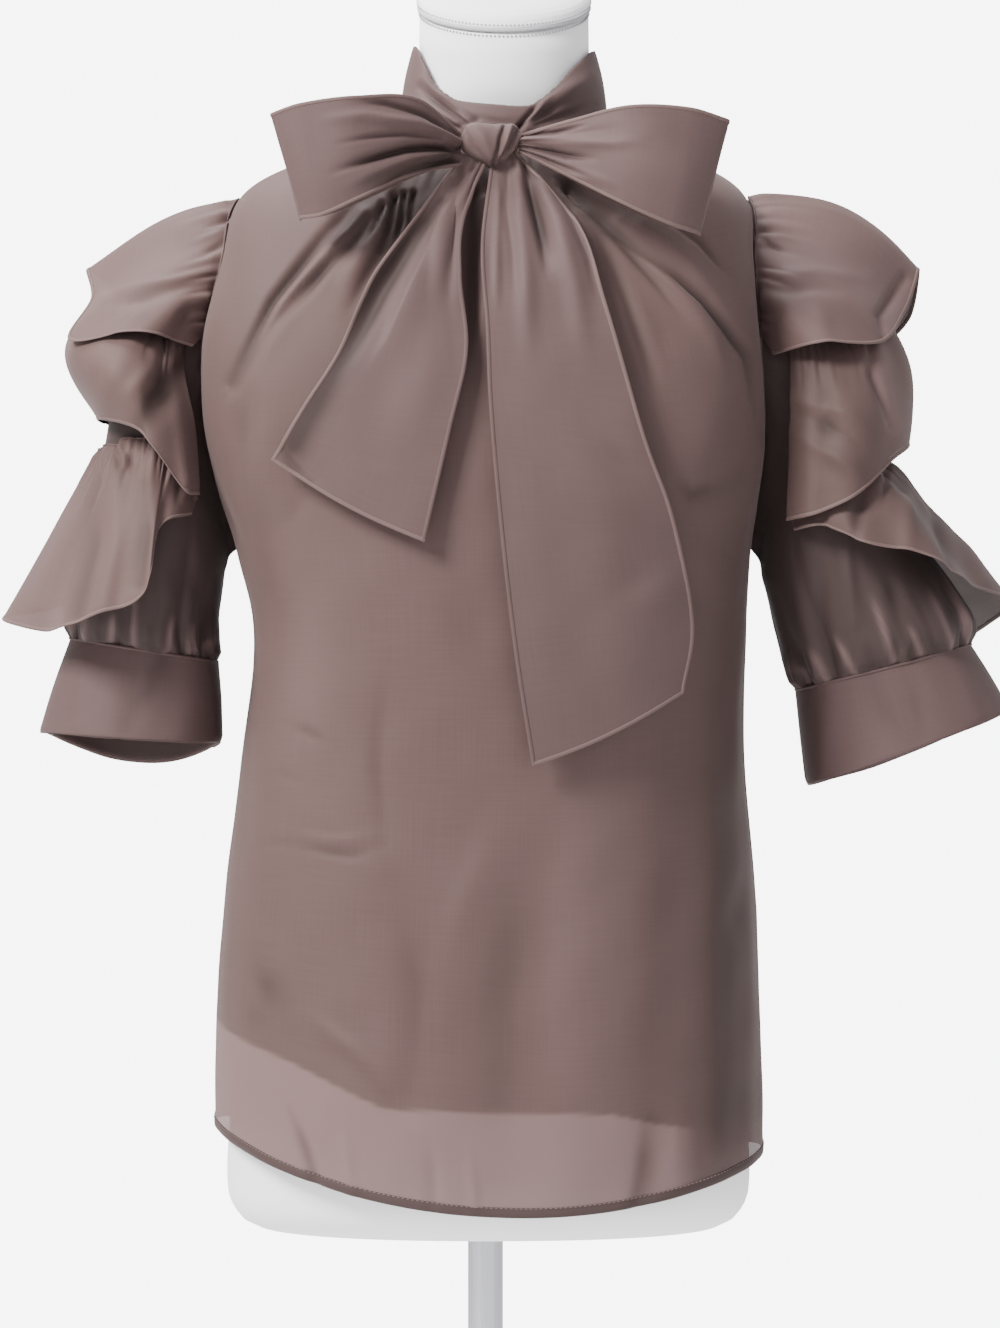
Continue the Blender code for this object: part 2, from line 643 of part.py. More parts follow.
def armhole_point(side, angle):
    """Edge of the armhole: angle 0 at the shoulder, 180 at the armpit, front positive."""
    row = mix(SHOULDER_ROW, ARMPIT_ROW, abs(angle) / 180.0)
    levels = FRONT_LEVELS if angle >= 0.0 else BACK_LEVELS
    column = "left_x" if side < 0.0 else "right_x"
    x = interpolate(levels, "row", row, column)
    from_seam = min(abs(angle), 180.0 - abs(angle))
    y = interpolate(levels, "row", row, "side_y") * clamp(from_seam / SEAM_EASE_ANGLE)
    z = interpolate(levels, "row", row, "side_z")
    return Vector((x + side * ARMHOLE_GAP, y, z))


def sleeve_ring_point(rings, t, angle):
    outer_x = interpolate(rings, "t", t, "outer_x")
    outer_z = interpolate(rings, "t", t, "outer_z")
    inner_x = interpolate(rings, "t", t, "inner_x")
    inner_z = interpolate(rings, "t", t, "inner_z")
    depth = interpolate(rings, "t", t, "half_depth")
    turn = math.radians(angle)
    share = (1.0 + math.cos(turn)) / 2.0
    x = mix(inner_x, outer_x, share)
    z = mix(inner_z, outer_z, share)
    return Vector((x, -depth * math.sin(turn), z))


def sleeve_point(rings, side, t, angle):
    """Point of the puffed sleeve, from the armhole edge (t 0) to the cuff seam (t 1)."""
    ring = sleeve_ring_point(rings, t, angle)
    to_armhole = armhole_point(side, angle) - sleeve_ring_point(rings, 0.0, angle)
    point = ring + to_armhole * (1.0 - t) ** 5
    gather = clamp((t - CUFF_GATHER_FROM) / (1.0 - CUFF_GATHER_FROM)) ** 2
    gather *= clamp((1.0 - t) * 20.0 + 0.5)
    gather *= CUFF_GATHER_HEIGHT * math.cos(math.radians(angle) * CUFF_GATHERS)
    centre = (sleeve_ring_point(rings, t, 0.0) + sleeve_ring_point(rings, t, 180.0)) / 2.0
    return point + (point - centre).normalized() * gather


def sleeve_normal(rings, side, t, angle):
    """Outward direction of the sleeve's cloth."""
    step_t = 0.02
    step_angle = 4.0
    along = sleeve_point(rings, side, t + step_t, angle) - sleeve_point(rings, side, t, angle)
    round_it = (sleeve_point(rings, side, t, angle + step_angle)
                - sleeve_point(rings, side, t, angle - step_angle))
    normal = along.cross(round_it).normalized()
    centre = (sleeve_ring_point(rings, t, 0.0) + sleeve_ring_point(rings, t, 180.0)) / 2.0
    inside = sleeve_point(rings, side, t, angle) - centre
    return normal if normal.dot(inside) > 0.0 else -normal


def ring_angle(u):
    return mix(180.0, -180.0, u)


def make_sleeves(build):
    for name, rings, side in (("left", LEFT_SLEEVE, -1.0), ("right", RIGHT_SLEEVE, 1.0)):
        def puff(u, v, rings=rings, side=side):
            return sleeve_point(rings, side, 1.0 - v, ring_angle(u))
        build.sheet("sleeve_" + name, puff, SLEEVE_SEGMENTS, SLEEVE_ROWS, closed=True)


def cuff_point(rings, angle, v):
    """Point of a flared cuff: v 0 at its seam, 1 at its open edge."""
    at = {c: interpolate(rings, "t", v, c) for c in CuffRing._fields[1:]}
    turn = math.radians(angle)
    share = (1.0 + math.cos(turn)) / 2.0
    x = mix(at["inner_x"], at["outer_x"], share)
    z = mix(at["inner_z"], at["outer_z"], share)
    z -= at["back_drop"] * clamp(-math.sin(turn)) ** 2
    return (x, -at["half_depth"] * math.sin(turn), z)


def make_cuffs(build):
    for name, rings in (("left", LEFT_CUFF), ("right", RIGHT_CUFF)):
        def cuff(u, v, rings=rings):
            return cuff_point(rings, ring_angle(u), 1.0 - v)
        build.sheet("cuff_" + name, cuff, CUFF_SEGMENTS, CUFF_ROWS, closed=True)


def spoke_value(spokes, u, column):
    """Smooth value along the spokes, which are evenly spaced in u."""
    rows = [Keyed(i / (len(spokes) - 1), getattr(s, column)) for i, s in enumerate(spokes)]
    return interpolate(rows, "u", u, "value")


def ruffle_point(name, u, v):
    """Point of a ruffle: u from the front inner end round to the back, v from its seam."""
    side = -1.0 if name.endswith("left") else 1.0
    rings = LEFT_SLEEVE if side < 0.0 else RIGHT_SLEEVE
    tier = name.split("_")[1]
    spokes = RUFFLES[name]
    at = {c: spoke_value(spokes, u, c) for c in Spoke._fields}
    on_sleeve = sleeve_point(rings, side, at["top_t"], at["angle"])
    centre = (sleeve_ring_point(rings, at["top_t"], 0.0)
              + sleeve_ring_point(rings, at["top_t"], 180.0)) / 2.0
    top = on_sleeve + sleeve_normal(rings, side, at["top_t"], at["angle"]) * RUFFLE_LIFT
    hem = Vector((at["hem_x"], at["hem_y"], at["hem_z"]))
    point = top.lerp(hem, v)
    middle = (hem + top) / 2.0 - centre
    away = Vector((middle.x, middle.y, abs(middle.z) * 0.5 + 10.0)).normalized()
    if tier != "1":
        away = Vector((middle.x, middle.y, 0.0)).normalized()
    point += away * at["bulge"] * math.sin(v ** BULGE_SKEW * math.pi)
    waves = RUFFLE_WAVES[tier]
    wave = RUFFLE_WAVE_HEIGHT[tier] * math.sin(u * waves * 2.0 * math.pi) * v ** 1.3
    return point + away * wave * clamp(min(u, 1.0 - u) * 12.0)


def make_ruffles(build):
    for name in RUFFLES:
        def ruffle(u, v, name=name):
            return ruffle_point(name, u, 1.0 - v)
        build.sheet(name, ruffle, RUFFLE_COLUMNS, RUFFLE_ROWS)


def make_neck_button(build):
    """A small round button that closes the collar behind the neck."""
    bm = bmesh.new()
    bmesh.ops.create_cone(bm, cap_ends=True, segments=16, radius1=BUTTON_RADIUS * MM,
                          radius2=BUTTON_FACE_RADIUS * MM, depth=BUTTON_THICKNESS * MM)
    collar_back = collar_point(180.0, 0.5)
    for vert in bm.verts:
        x, y, z = vert.co / MM
        behind = collar_back[1] + BUTTON_STAND - z
        vert.co = Vector((NECK_CENTRE_X + x, behind, collar_back[2] + y)) * MM
    bmesh.ops.recalc_face_normals(bm, faces=bm.faces)
    build.add("neck_button", bm, "button", smooth=False)


def form_point(level, turn):
    """Point of a form section, by angle from the right side, with its own power."""
    c = math.cos(turn)
    s = math.sin(turn)
    p = 2.0 / level.power
    x = level.centre_x + level.half_width * math.copysign(abs(c) ** p, c)
    depth = level.back if s > 0.0 else level.front
    return Vector((x, depth * math.copysign(abs(s) ** p, s), level.z))


def tilt_neck(point):
    """Lean the upper neck so that its end slopes down to the front."""
    share = clamp((point.z - NECK_LEAN_FROM) / (NECK_LEAN_TO - NECK_LEAN_FROM))
    rise = NECK_LEAN_RISE + point.y * math.tan(CAP_TILT)
    return Vector((point.x, point.y, point.z + share * rise))


def loft(bm, rings):
    """Bridge rings of vertices and close both ends."""
    loops = []
    for ring in rings:
        verts = [bm.verts.new(p * MM) for p in ring]
        edges = [bm.edges.new((a, b)) for a, b in zip(verts, verts[1:] + verts[:1])]
        loops.append(edges)
    for lower, upper in zip(loops, loops[1:]):
        bmesh.ops.bridge_loops(bm, edges=lower + upper)
    for end in (loops[0], loops[-1]):
        bmesh.ops.contextual_create(bm, geom=end)
    bmesh.ops.recalc_face_normals(bm, faces=bm.faces)


def make_form(build):
    turns = [2.0 * math.pi * i / FORM_SEGMENTS for i in range(FORM_SEGMENTS)]
    bm = bmesh.new()
    loft(bm, [[tilt_neck(form_point(level, turn)) for turn in turns]
              for level in FORM_LEVELS])
    torso = build.add("form_torso", bm, "jersey")
    torso.data.set_sharp_from_angle(angle=math.radians(50.0))

    bm = bmesh.new()
    rings = []
    for lift, radius in CAP_RINGS:
        ring = []
        for turn in turns:
            x = NECK_CENTRE_X + radius * math.cos(turn)
            y = radius * math.sin(turn)
            ring.append(Vector((x, y, CAP_FOOT_Z + lift + y * math.tan(CAP_TILT))))
        rings.append(ring)
    loft(bm, rings)
    build.add("form_neck_cap", bm, "jersey")


def turned(build, name, profile, finish, steps):
    """A solid of revolution about the pole, from a profile of radius and height."""
    bm = bmesh.new()
    verts = [bm.verts.new((radius * MM, 0.0, z * MM)) for radius, z in profile]
    for a, b in zip(verts, verts[1:]):
        bm.edges.new((a, b))
    made = build.add(name, bm, finish, smooth=False)
    made.parent = None
    screw = made.modifiers.new("turn", "SCREW")
    screw.steps = steps
    screw.render_steps = steps
    screw.use_merge_vertices = True
    screw.merge_threshold = 0.00005
    screw.use_smooth_shade = True
    return made


def make_stand(build):
    top = FORM_BOTTOM - STAND_GAP
    pole_foot = BASE_THICKNESS + STAND_GAP
    turned(build, "form_pole", ((0.0, top), (POLE_RADIUS, top),
                                (POLE_RADIUS, pole_foot + COLLET_HEIGHT),
                                (COLLET_RADIUS, pole_foot + COLLET_HEIGHT - COLLET_SLOPE),
                                (COLLET_RADIUS, pole_foot), (0.0, pole_foot)),
           "satin_steel", 24)
    turned(build, "form_base", ((0.0, BASE_THICKNESS),
                                (BASE_RADIUS - BASE_BEVEL, BASE_THICKNESS),
                                (BASE_RADIUS, BASE_THICKNESS - BASE_BEVEL),
                                (BASE_RADIUS, 0.0), (0.0, 0.0)), "satin_steel", 48)


def main():
    clear_scene()
    build = Builder()
    make_bodice(build)
    make_lining(build)
    make_collar(build)
    make_bow(build)
    make_sleeves(build)
    make_cuffs(build)
    make_ruffles(build)
    make_neck_button(build)
    make_form(build)
    make_stand(build)


main()
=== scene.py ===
"""Dressed look of the sheer bow-neck blouse on its limbless dress form.

Every cloth piece is a thin surface on the same sections as its solid, finer, with
its creases, gathers and turned edges. Sections and creases are in millimetres,
before the garment's small shift to the right; the front faces -Y.
"""

import logging
import math
from collections.abc import Callable, Sequence
from dataclasses import dataclass, field, fields, replace
from enum import Enum

import bmesh
import bpy
import numpy as np
from mathutils import Matrix, Vector
from mathutils.bvhtree import BVHTree


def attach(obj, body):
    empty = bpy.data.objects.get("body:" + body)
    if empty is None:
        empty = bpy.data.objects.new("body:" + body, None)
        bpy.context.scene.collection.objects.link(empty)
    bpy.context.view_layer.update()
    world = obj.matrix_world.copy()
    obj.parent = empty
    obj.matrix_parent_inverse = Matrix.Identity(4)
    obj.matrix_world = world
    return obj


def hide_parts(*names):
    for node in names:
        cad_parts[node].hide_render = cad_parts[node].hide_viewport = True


LOG = logging.getLogger("blouse")
MM = 0.001
TURN = 2.0 * math.pi
WAVE_PERIOD = TURN / 20.0
GARMENT_SHIFT_X = 2.9
# Painted shade in creases starts at troughs this deep and grows over this span, in mm, partly
# standing for the doubled cloth of pleats.
CREASE_SHADE_START = 0.7
CREASE_SHADE_SPAN = 5.0
# The deepest share of painted shade.
DEEPEST_PAINTED_SHADE = 0.85
BACK_NARROWING = 0.985
BACK_BROADENING = 1.15
# Mesh attribute that carries painted shade and painted light to the finishes.
PAINTED_SHADING_ATTRIBUTE = "cloth_tone"

Array = np.ndarray
Surface = Callable[[Array, Array], Array]
Facing = Callable[[Array, Array, Array], Array]

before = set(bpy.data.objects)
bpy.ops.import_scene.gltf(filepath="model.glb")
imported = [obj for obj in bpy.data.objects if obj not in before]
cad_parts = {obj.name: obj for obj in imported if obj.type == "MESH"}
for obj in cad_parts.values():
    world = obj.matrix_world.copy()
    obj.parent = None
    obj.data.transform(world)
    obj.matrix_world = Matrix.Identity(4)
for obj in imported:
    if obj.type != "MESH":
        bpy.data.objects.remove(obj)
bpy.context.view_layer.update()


class Side(Enum):
    """The side of a piece that a fold lies on."""

    FRONT = -1.0
    BACK = 1.0


class Edge(Enum):
    """An edge of a cloth surface: which of u and v is fixed, and its value."""

    TOP = ("v", 0.0)
    HEM = ("v", 1.0)
    START = ("u", 0.0)
    END = ("u", 1.0)


class Held(Enum):
    """How a cut piece of cloth is held."""

    HUNG = "hung"
    GATHERED = "gathered"
    FOLDED = "folded"


def clamp(value: Array, low: float = 0.0, high: float = 1.0) -> Array:
    """Limit values.

    Args:
        value: the values.
        low: the lowest one kept.
        high: the highest one kept.

    Returns:
        The values inside the limits.
    """
    return np.clip(value, low, high)


def mix(a: Array, b: Array, share: Array) -> Array:
    """Blend two values.

    Args:
        a: value at share 0.
        b: value at share 1.
        share: where between them.

    Returns:
        The blended value.
    """
    return a + (b - a) * share


def smooth(value: Array) -> Array:
    """Ease a share from 0 to 1.

    Args:
        value: the share, limited here.

    Returns:
        The eased share.
    """
    value = clamp(value)
    return value * value * (3.0 - 2.0 * value)


def interpolate(keys: Array, values: Array, at: Array) -> Array:
    """Smooth values between keys, by cubic pieces.

    Args:
        keys: keys that rise or fall all the way.
        values: the value at each key.
        at: keys wanted.

    Returns:
        The value at each wanted key.
    """
    if keys[0] > keys[-1]:
        keys, values = keys[::-1], values[::-1]
    at = np.clip(np.asarray(at, float), keys[0], keys[-1])
    slopes = np.empty_like(values)
    slopes[0] = (values[1] - values[0]) / (keys[1] - keys[0])
    slopes[-1] = (values[-1] - values[-2]) / (keys[-1] - keys[-2])
    slopes[1:-1] = (values[2:] - values[:-2]) / (keys[2:] - keys[:-2])
    high = np.clip(np.searchsorted(keys, at, side="right"), 1, len(keys) - 1)
    low = high - 1
    span = keys[high] - keys[low]
    s = (at - keys[low]) / span
    start = (2 * s**3 - 3 * s**2 + 1) * values[low]
    start += (s**3 - 2 * s**2 + s) * span * slopes[low]
    end = (3 * s**2 - 2 * s**3) * values[high]
    end += (s**3 - s**2) * span * slopes[high]
    return start + end


def columns_at(rows: Sequence[object], key: str | list[float],
               at: Array) -> dict[str, Array]:
    """Smooth values of a table's columns.

    Args:
        rows: the table.
        key: name of the key column, or a key for each row.
        at: keys wanted.

    Returns:
        The values of every other column, by its name.
    """
    keys = [getattr(row, key) for row in rows] if isinstance(key, str) else key
    names = [f.name for f in fields(rows[0]) if f.name != key]
    return {name: interpolate(np.array(keys, float),
                              np.array([getattr(row, name) for row in rows], float), at)
            for name in names}


def stacked(x: Array, y: Array, z: Array) -> Array:
    """Points from three coordinates.

    Args:
        x: first coordinate.
        y: second coordinate.
        z: third coordinate.

    Returns:
        An array with a point in each row.
    """
    return np.stack(np.broadcast_arrays(x, y, z), axis=-1).astype(float)


def unit(vectors: Array) -> Array:
    """Vectors of length one.

    Args:
        vectors: rows of vectors.

    Returns:
        The same directions.
    """
    length = np.linalg.norm(vectors, axis=-1, keepdims=True)
    return vectors / np.maximum(length, 1e-9)


def level_way(degrees: Array) -> Array:
    """Level directions out from the neck.

    Args:
        degrees: angles from the front.

    Returns:
        Unit vectors.
    """
    turn = np.radians(degrees)
    return stacked(np.sin(turn), -np.cos(turn), 0.0)


def away_from(x: float, rise: float) -> Facing:
    """Outward directions from an upright axis.

    Args:
        x: where the axis stands, in mm.
        rise: how much the directions lean up, in mm.

    Returns:
        The function of those directions.
    """
    return lambda u, v, points: stacked(points[:, 0] - x, points[:, 1], rise)


def show(name: str, data: bpy.types.ID) -> bpy.types.Object:
    """Put data into the scene as an object.

    Args:
        name: the object's name.
        data: its mesh, light or camera.

    Returns:
        The object.
    """
    made = bpy.data.objects.new(name, data)
    bpy.context.scene.collection.objects.link(made)
    return made


# Creases


@dataclass(frozen=True)
class Fold:
    """A crease or ridge, as it is seen from the front.

    path has points (x, z) in mm. height is out of the cloth, and below 0 for a
    trough. width is half its breadth. start and end are its shares of height at its
    ends, and skew over 1 makes its right side broader than its left. As a stroke of
    painted shade, height is instead its share of painted shade, and below 0 it
    paints light.
    """

    path: tuple[tuple[float, float], ...]
    height: float
    width: float
    start: float = 0.0
    end: float = 0.0
    skew: float = 1.0
    side: Side = Side.FRONT

    def relief(self, points: Array, sides: Array) -> Array:
        """Height of this fold at points.

        Args:
            points: points in mm.
            sides: -1 for points on the front side and 1 for those on the back.

        Returns:
            Heights in mm.
        """
        line = np.array(self.path, float)
        steps = np.linalg.norm(np.diff(line, axis=0), axis=1)
        before = np.concatenate(([0.0], np.cumsum(steps)))
        seen = points[:, [0, 2]]
        best = np.full(len(points), 1e9)
        signed = np.zeros(len(points))
        along = np.zeros(len(points))
        for i, step in enumerate(steps):
            way = (line[i + 1] - line[i]) / max(step, 1e-6)
            from_start = seen - line[i]
            place = clamp(from_start @ way, 0.0, step)
            apart = from_start - place[:, None] * way
            distance = np.linalg.norm(apart, axis=1)
            nearer = distance < best
            best = np.where(nearer, distance, best)
            right = apart[:, 0] * -way[1] + apart[:, 1] * way[0]
            signed = np.where(nearer, np.sign(right) * distance, signed)
            along = np.where(nearer, (before[i] + place) / before[-1], along)
        ends = np.where(along < 0.5, mix(self.start, 1.0, smooth(2.0 * along)),
                        mix(self.end, 1.0, smooth(2.0 * (1.0 - along))))
        breadth = self.width * np.where(signed > 0.0, self.skew, 1.0)
        shown = np.where(sides * self.side.value > 0.0, 1.0, 0.0)
        return self.height * ends * np.exp(-((best / breadth) ** 2)) * shown


@dataclass(frozen=True)
class Gathers:
    """Uneven small pleats that run down from a gathered seam, or up from it."""

    count: int
    height: float
    reach: float
    seed: int
    width: float = 0.42
    from_hem: bool = False
    wrap: bool = False

    def relief(self, u: Array, v: Array) -> Array:
        """Height of the pleats.

        Args:
            u: place along the seam, 0 to 1.
            v: place away from the top seam, 0 to 1.

        Returns:
            Heights in mm.
        """
        away = 1.0 - v if self.from_hem else v
        pick = np.random.default_rng(self.seed)
        total = np.zeros(len(u))
        for i in range(self.count):
            shift, lean = pick.uniform(-0.32, 0.32, 2)
            middle = (i + 0.5 + shift) / self.count
            breadth = self.width * pick.uniform(0.6, 1.35) / self.count
            high = self.height * pick.uniform(0.35, 1.0)
            reach = self.reach * pick.uniform(0.4, 1.0)
            apart = u - middle - lean * away / self.count
            if self.wrap:
                apart = (apart + 0.5) % 1.0 - 0.5
            ridge = np.exp(-((apart / breadth) ** 2))
            ridge -= 0.9 * np.exp(-(((apart - 1.3 * breadth) / (0.55 * breadth)) ** 2))
            total += high * ridge * clamp(1.0 - away / reach) ** 1.3
        return total * (0.35 + 0.65 * clamp(away / 0.05))


def behind(folds: Sequence[Fold], move: float, share: float) -> tuple[Fold, ...]:
    """Folds like those in front, for the side that the photo doesn't show.

    Args:
        folds: folds of the front.
        move: how far they are moved down, in mm.
        share: how high they are against those in front.

    Returns:
        The folds of the back.
    """
    made = []
    for i, fold in enumerate(folds):
        drop = move * (1.0 + 0.3 * (i % 3))
        path = tuple((x * BACK_NARROWING, z - drop) for x, z in fold.path)
        made.append(replace(fold, path=path, height=fold.height * share,
                            width=fold.width * BACK_BROADENING, skew=1.0 / fold.skew,
                            side=Side.BACK))
    return tuple(made)


@dataclass
class Drape:
    """A cloth surface over the unit square, with its creases."""

    shape: Surface
    facing: Facing
    folds: tuple[Fold, ...] = ()
    gathers: tuple[Gathers, ...] = ()
    pinches: tuple[Gathers, ...] = ()
    unevenness: float = 0.35
    seed: int = 1
    wrap: bool = False
    middle_y: float = 0.0
    layered: bool = False
    edge_ease: float = 0.0
    fold_ease: float = 0.0
    # Painted shade and painted light: strokes of both, the painted light where no lining lies
    # behind, and painted shade on the inner layer.
    shades: tuple[Fold, ...] = ()
    bare: Callable[[Array], Array] | None = None
    inner_tone: float = 0.0

    def normals(self, u: Array, v: Array, points: Array) -> Array:
        """Outward directions of the smooth shape.

        Args:
            u: places across.
            v: places down.
            points: the shape's points there.

        Returns:
            Unit vectors.
        """
        step = 0.004
        if self.wrap:
            before, after = (u - step) % 1.0, (u + step) % 1.0
        else:
            before, after = clamp(u - step), clamp(u + step)
        across = self.shape(after, v) - self.shape(before, v)
        down = self.shape(u, clamp(v + step)) - self.shape(u, clamp(v - step))
        normal = unit(np.cross(across, down))
        turned = np.sum(normal * self.facing(u, v, points), axis=1) < 0.0
        return np.where(turned[:, None], -normal, normal)

    def waves(self, points: Array) -> Array:
        """Slow unevenness of the cloth.

        Args:
            points: points in mm.

        Returns:
            Heights in mm.
        """
        pick = np.random.default_rng(self.seed)
        total = np.zeros(len(points))
        for _ in range(7):
            way = unit(pick.normal(size=3)[None, :])[0]
            total += np.sin(points @ way * TURN / pick.uniform(28.0, 95.0)
                            + pick.uniform(0.0, 6.3)) / 7.0
        return total * self.unevenness * 2.0

    def relief(self, u: Array, v: Array, base: Array) -> Array:
        """Height of the creases and gathers over the smooth shape.

        Args:
            u: places across.
            v: places down.
            base: the shape's points there.

        Returns:
            Heights in mm.
        """
        height = self.strokes(self.folds, u, base)
        if self.edge_ease > 0.0:
            height = height * smooth(np.minimum(u, 1.0 - u) / self.edge_ease)
        for row in self.gathers:
            height = height + row.relief(u, v)
        for row in self.pinches:
            height = height + row.relief(v, 1.0 - np.abs(2.0 * u - 1.0))
        if self.fold_ease > 0.0:
            height = height * smooth(np.abs(v - 0.5) / self.fold_ease)
        return height

    def strokes(self, folds: Sequence[Fold], u: Array, base: Array) -> Array:
        """Sum of given strokes.

        Args:
            folds: the strokes.
            u: places across.
            base: the shape's points there.

        Returns:
            Heights in mm, or shares of painted shade and painted light.
        """
        behind_it = u > 0.5 if self.layered else base[:, 1] > self.middle_y
        sides = np.where(behind_it, 1.0, -1.0)
        return sum((fold.relief(base, sides) for fold in folds), np.zeros(len(u)))

    def tone(self, u: Array, v: Array) -> Array:
        """Painted shade and painted light on the cloth: painted shade in the troughs of
        creases, partly for the doubled cloth of pleats, along strokes and on inner
        layers, and painted light where no dark lining lies behind.

        Args:
            u: places across.
            v: places down.

        Returns:
            Shares from -1, for the most painted light, to the deepest painted shade.
        """
        base = self.shape(u, v)
        # Painted shade in the deeper troughs of creases, partly for the doubled cloth of
        # pleats.
        deep = clamp((-self.relief(u, v, base) - CREASE_SHADE_START) / CREASE_SHADE_SPAN, 0.0, 0.75)
        # Painted shade and painted light along strokes.
        deep = deep + self.strokes(self.shades, u, base)
        # Painted shade on the inner layer of folded bands.
        deep = deep + self.inner_tone * clamp((v - 0.5) * 40.0)
        # Painted light where no lining lies behind.
        if self.bare is not None:
            deep = deep - self.bare(base)
        return clamp(deep, -1.0, DEEPEST_PAINTED_SHADE)

    def points(self, u: Array, v: Array) -> Array:
        """Points of the creased cloth.

        Args:
            u: places across.
            v: places down.

        Returns:
            Points in mm.
        """
        base = self.shape(u, v)
        height = self.waves(base) + self.relief(u, v, base)
        return base + self.normals(u, v, base) * height[:, None]


# Finishes


def linear(hex_colour: str) -> tuple[float, float, float, float]:
    """Linear colour of an sRGB hex colour.

    Args:
        hex_colour: colour as #rrggbb.

    Returns:
        Red, green, blue and 1.
    """
    parts = [int(hex_colour[i:i + 2], 16) / 255.0 for i in (1, 3, 5)]
    made = [p / 12.92 if p <= 0.04045 else ((p + 0.055) / 1.055) ** 2.4 for p in parts]
    return (made[0], made[1], made[2], 1.0)


class NodeSheet:
    """A material's node tree with a short way to add named nodes."""

    def __init__(self, name: str) -> None:
        """Start a material.

        Args:
            name: the material's name.
        """
        self.material = bpy.data.materials.new(name)
        self.material.use_nodes = True
        self.tree = self.material.node_tree
        self.shader = self.tree.nodes["Principled BSDF"]

    def add(self, kind: str, label: str, links: dict[str, object] | None = None,
            **values: object) -> bpy.types.Node:
        """Add a node.

        Args:
            kind: the node's type.
            label: its name and label.
            links: input name to the socket that feeds it, or to a plain value.
            **values: the node's own properties.

        Returns:
            The node.
        """
        node = self.tree.nodes.new(kind)
        node.name = label
        node.label = label
        for key, value in values.items():
            setattr(node, key, value)
        for key, value in (links or {}).items():
            socket = node.inputs[int(key)] if key.isdigit() else node.inputs[key]
            if isinstance(value, bpy.types.NodeSocket):
                self.tree.links.new(value, socket)
            else:
                socket.default_value = value
        return node

    def feed(self, socket: str, source: bpy.types.NodeSocket) -> None:
        """Link a socket into the shader.

        Args:
            socket: the shader's input.
            source: what feeds it.
        """
        self.tree.links.new(source, self.shader.inputs[socket])

    def settle(self, **values: object) -> None:
        """Set plain values on the shader.

        Args:
            **values: input names with _ for spaces.
        """
        for key, value in values.items():
            self.shader.inputs[key.replace("_", " ")].default_value = value


@dataclass(frozen=True)
class WovenFinish:
    """Plain-woven filament cloth, sheer where alpha is under 1."""

    name: str
    colour: str
    shade: str
    alpha: float = 1.0
    sheen: float = 0.09
    roughness: float = 0.6
    thread_pitch: float = 0.00032
    thread_depth: float = 0.00002
    patch_size: float = 0.11
    # deep is the colour of painted shade and light the colour of painted light, mixed in by the
    # mesh attribute.
    deep: str = "#2b211f"
    light: str = "#6f5b5a"

    def build(self) -> bpy.types.Material:
        """Make the material.

        Returns:
            The material.
        """
        sheet = NodeSheet(self.name)
        cloth_uv = sheet.add("ShaderNodeTexCoord", "place on the cloth in metres")
        threads, slubs = [], []
        for yarn, bands, stretch in (("warp", "X", (1400.0, 22.0, 1.0)),
                                     ("weft", "Y", (26.0, 1100.0, 1.0))):
            wave = sheet.add("ShaderNodeTexWave", f"{yarn} threads",
                             {"Vector": cloth_uv.outputs["UV"],
                              "Scale": WAVE_PERIOD / self.thread_pitch,
                              "Distortion": 0.4, "Detail": 1.0}, bands_direction=bands)
            along = sheet.add("ShaderNodeMapping", f"slubs run along the {yarn}",
                              {"Vector": cloth_uv.outputs["UV"], "Scale": stretch})
            slub = sheet.add("ShaderNodeTexNoise", f"uneven {yarn} filaments",
                             {"Vector": along.outputs[0], "Scale": 1.0, "Detail": 2.0})
            threads.append(wave.outputs["Fac"])
            slubs.append(slub.outputs[0])
        weave = sheet.add("ShaderNodeMath", "plain weave",
                          {"0": threads[0], "1": threads[1]}, operation="MAXIMUM")
        bump = sheet.add("ShaderNodeBump", "thread relief",
                         {"Height": weave.outputs[0], "Strength": 0.5,
                          "Distance": self.thread_depth})
        uneven = sheet.add("ShaderNodeMath", "uneven filaments",
                           {"0": slubs[0], "1": slubs[1]}, operation="ADD")
        patches = sheet.add("ShaderNodeTexNoise", "slow change of tone",
                            {"Vector": cloth_uv.outputs["Object"],
                             "Scale": 1.0 / self.patch_size, "Detail": 2.0,
                             "Roughness": 0.6})
        both = sheet.add("ShaderNodeMath", "tone",
                         {"0": patches.outputs[0], "1": uneven.outputs[0]},
                         operation="ADD")
        spread = sheet.add("ShaderNodeMapRange", "tone share",
                           {"Value": both.outputs[0], "From Min": 0.2,
                            "From Max": 2.8})
        tone = sheet.add("ShaderNodeMix", "dyed yarn colour",
                         {"Factor": spread.outputs[0], "6": linear(self.shade),
                          "7": linear(self.colour)}, data_type="RGBA")
        # Painted shade and painted light from the mesh attribute: over 0 darkens towards deep,
        # below 0 lightens towards light.
        depth = sheet.add("ShaderNodeAttribute", "deeper or lighter tone",
                          attribute_name=PAINTED_SHADING_ATTRIBUTE)
        painted_shade_mix = sheet.add("ShaderNodeMix", "darker where pleats lie double",
                            {"Factor": depth.outputs["Fac"], "6": tone.outputs[2],
                             "7": linear(self.deep)}, data_type="RGBA")
        turned = sheet.add("ShaderNodeMath", "lighter share",
                           {"0": depth.outputs["Fac"], "1": -1.0}, operation="MULTIPLY")
        single = sheet.add("ShaderNodeMix", "lighter where no lining lies behind",
                           {"Factor": turned.outputs[0], "6": painted_shade_mix.outputs[2],
                            "7": linear(self.light)}, data_type="RGBA")
        sheet.feed("Base Color", single.outputs[2])
        sheet.feed("Normal", bump.outputs[0])
        sheet.settle(Roughness=self.roughness, Alpha=self.alpha,
                     Sheen_Weight=self.sheen, Sheen_Roughness=0.4,
                     Sheen_Tint=linear("#efe4e2"), Specular_IOR_Level=0.14)
        return sheet.material


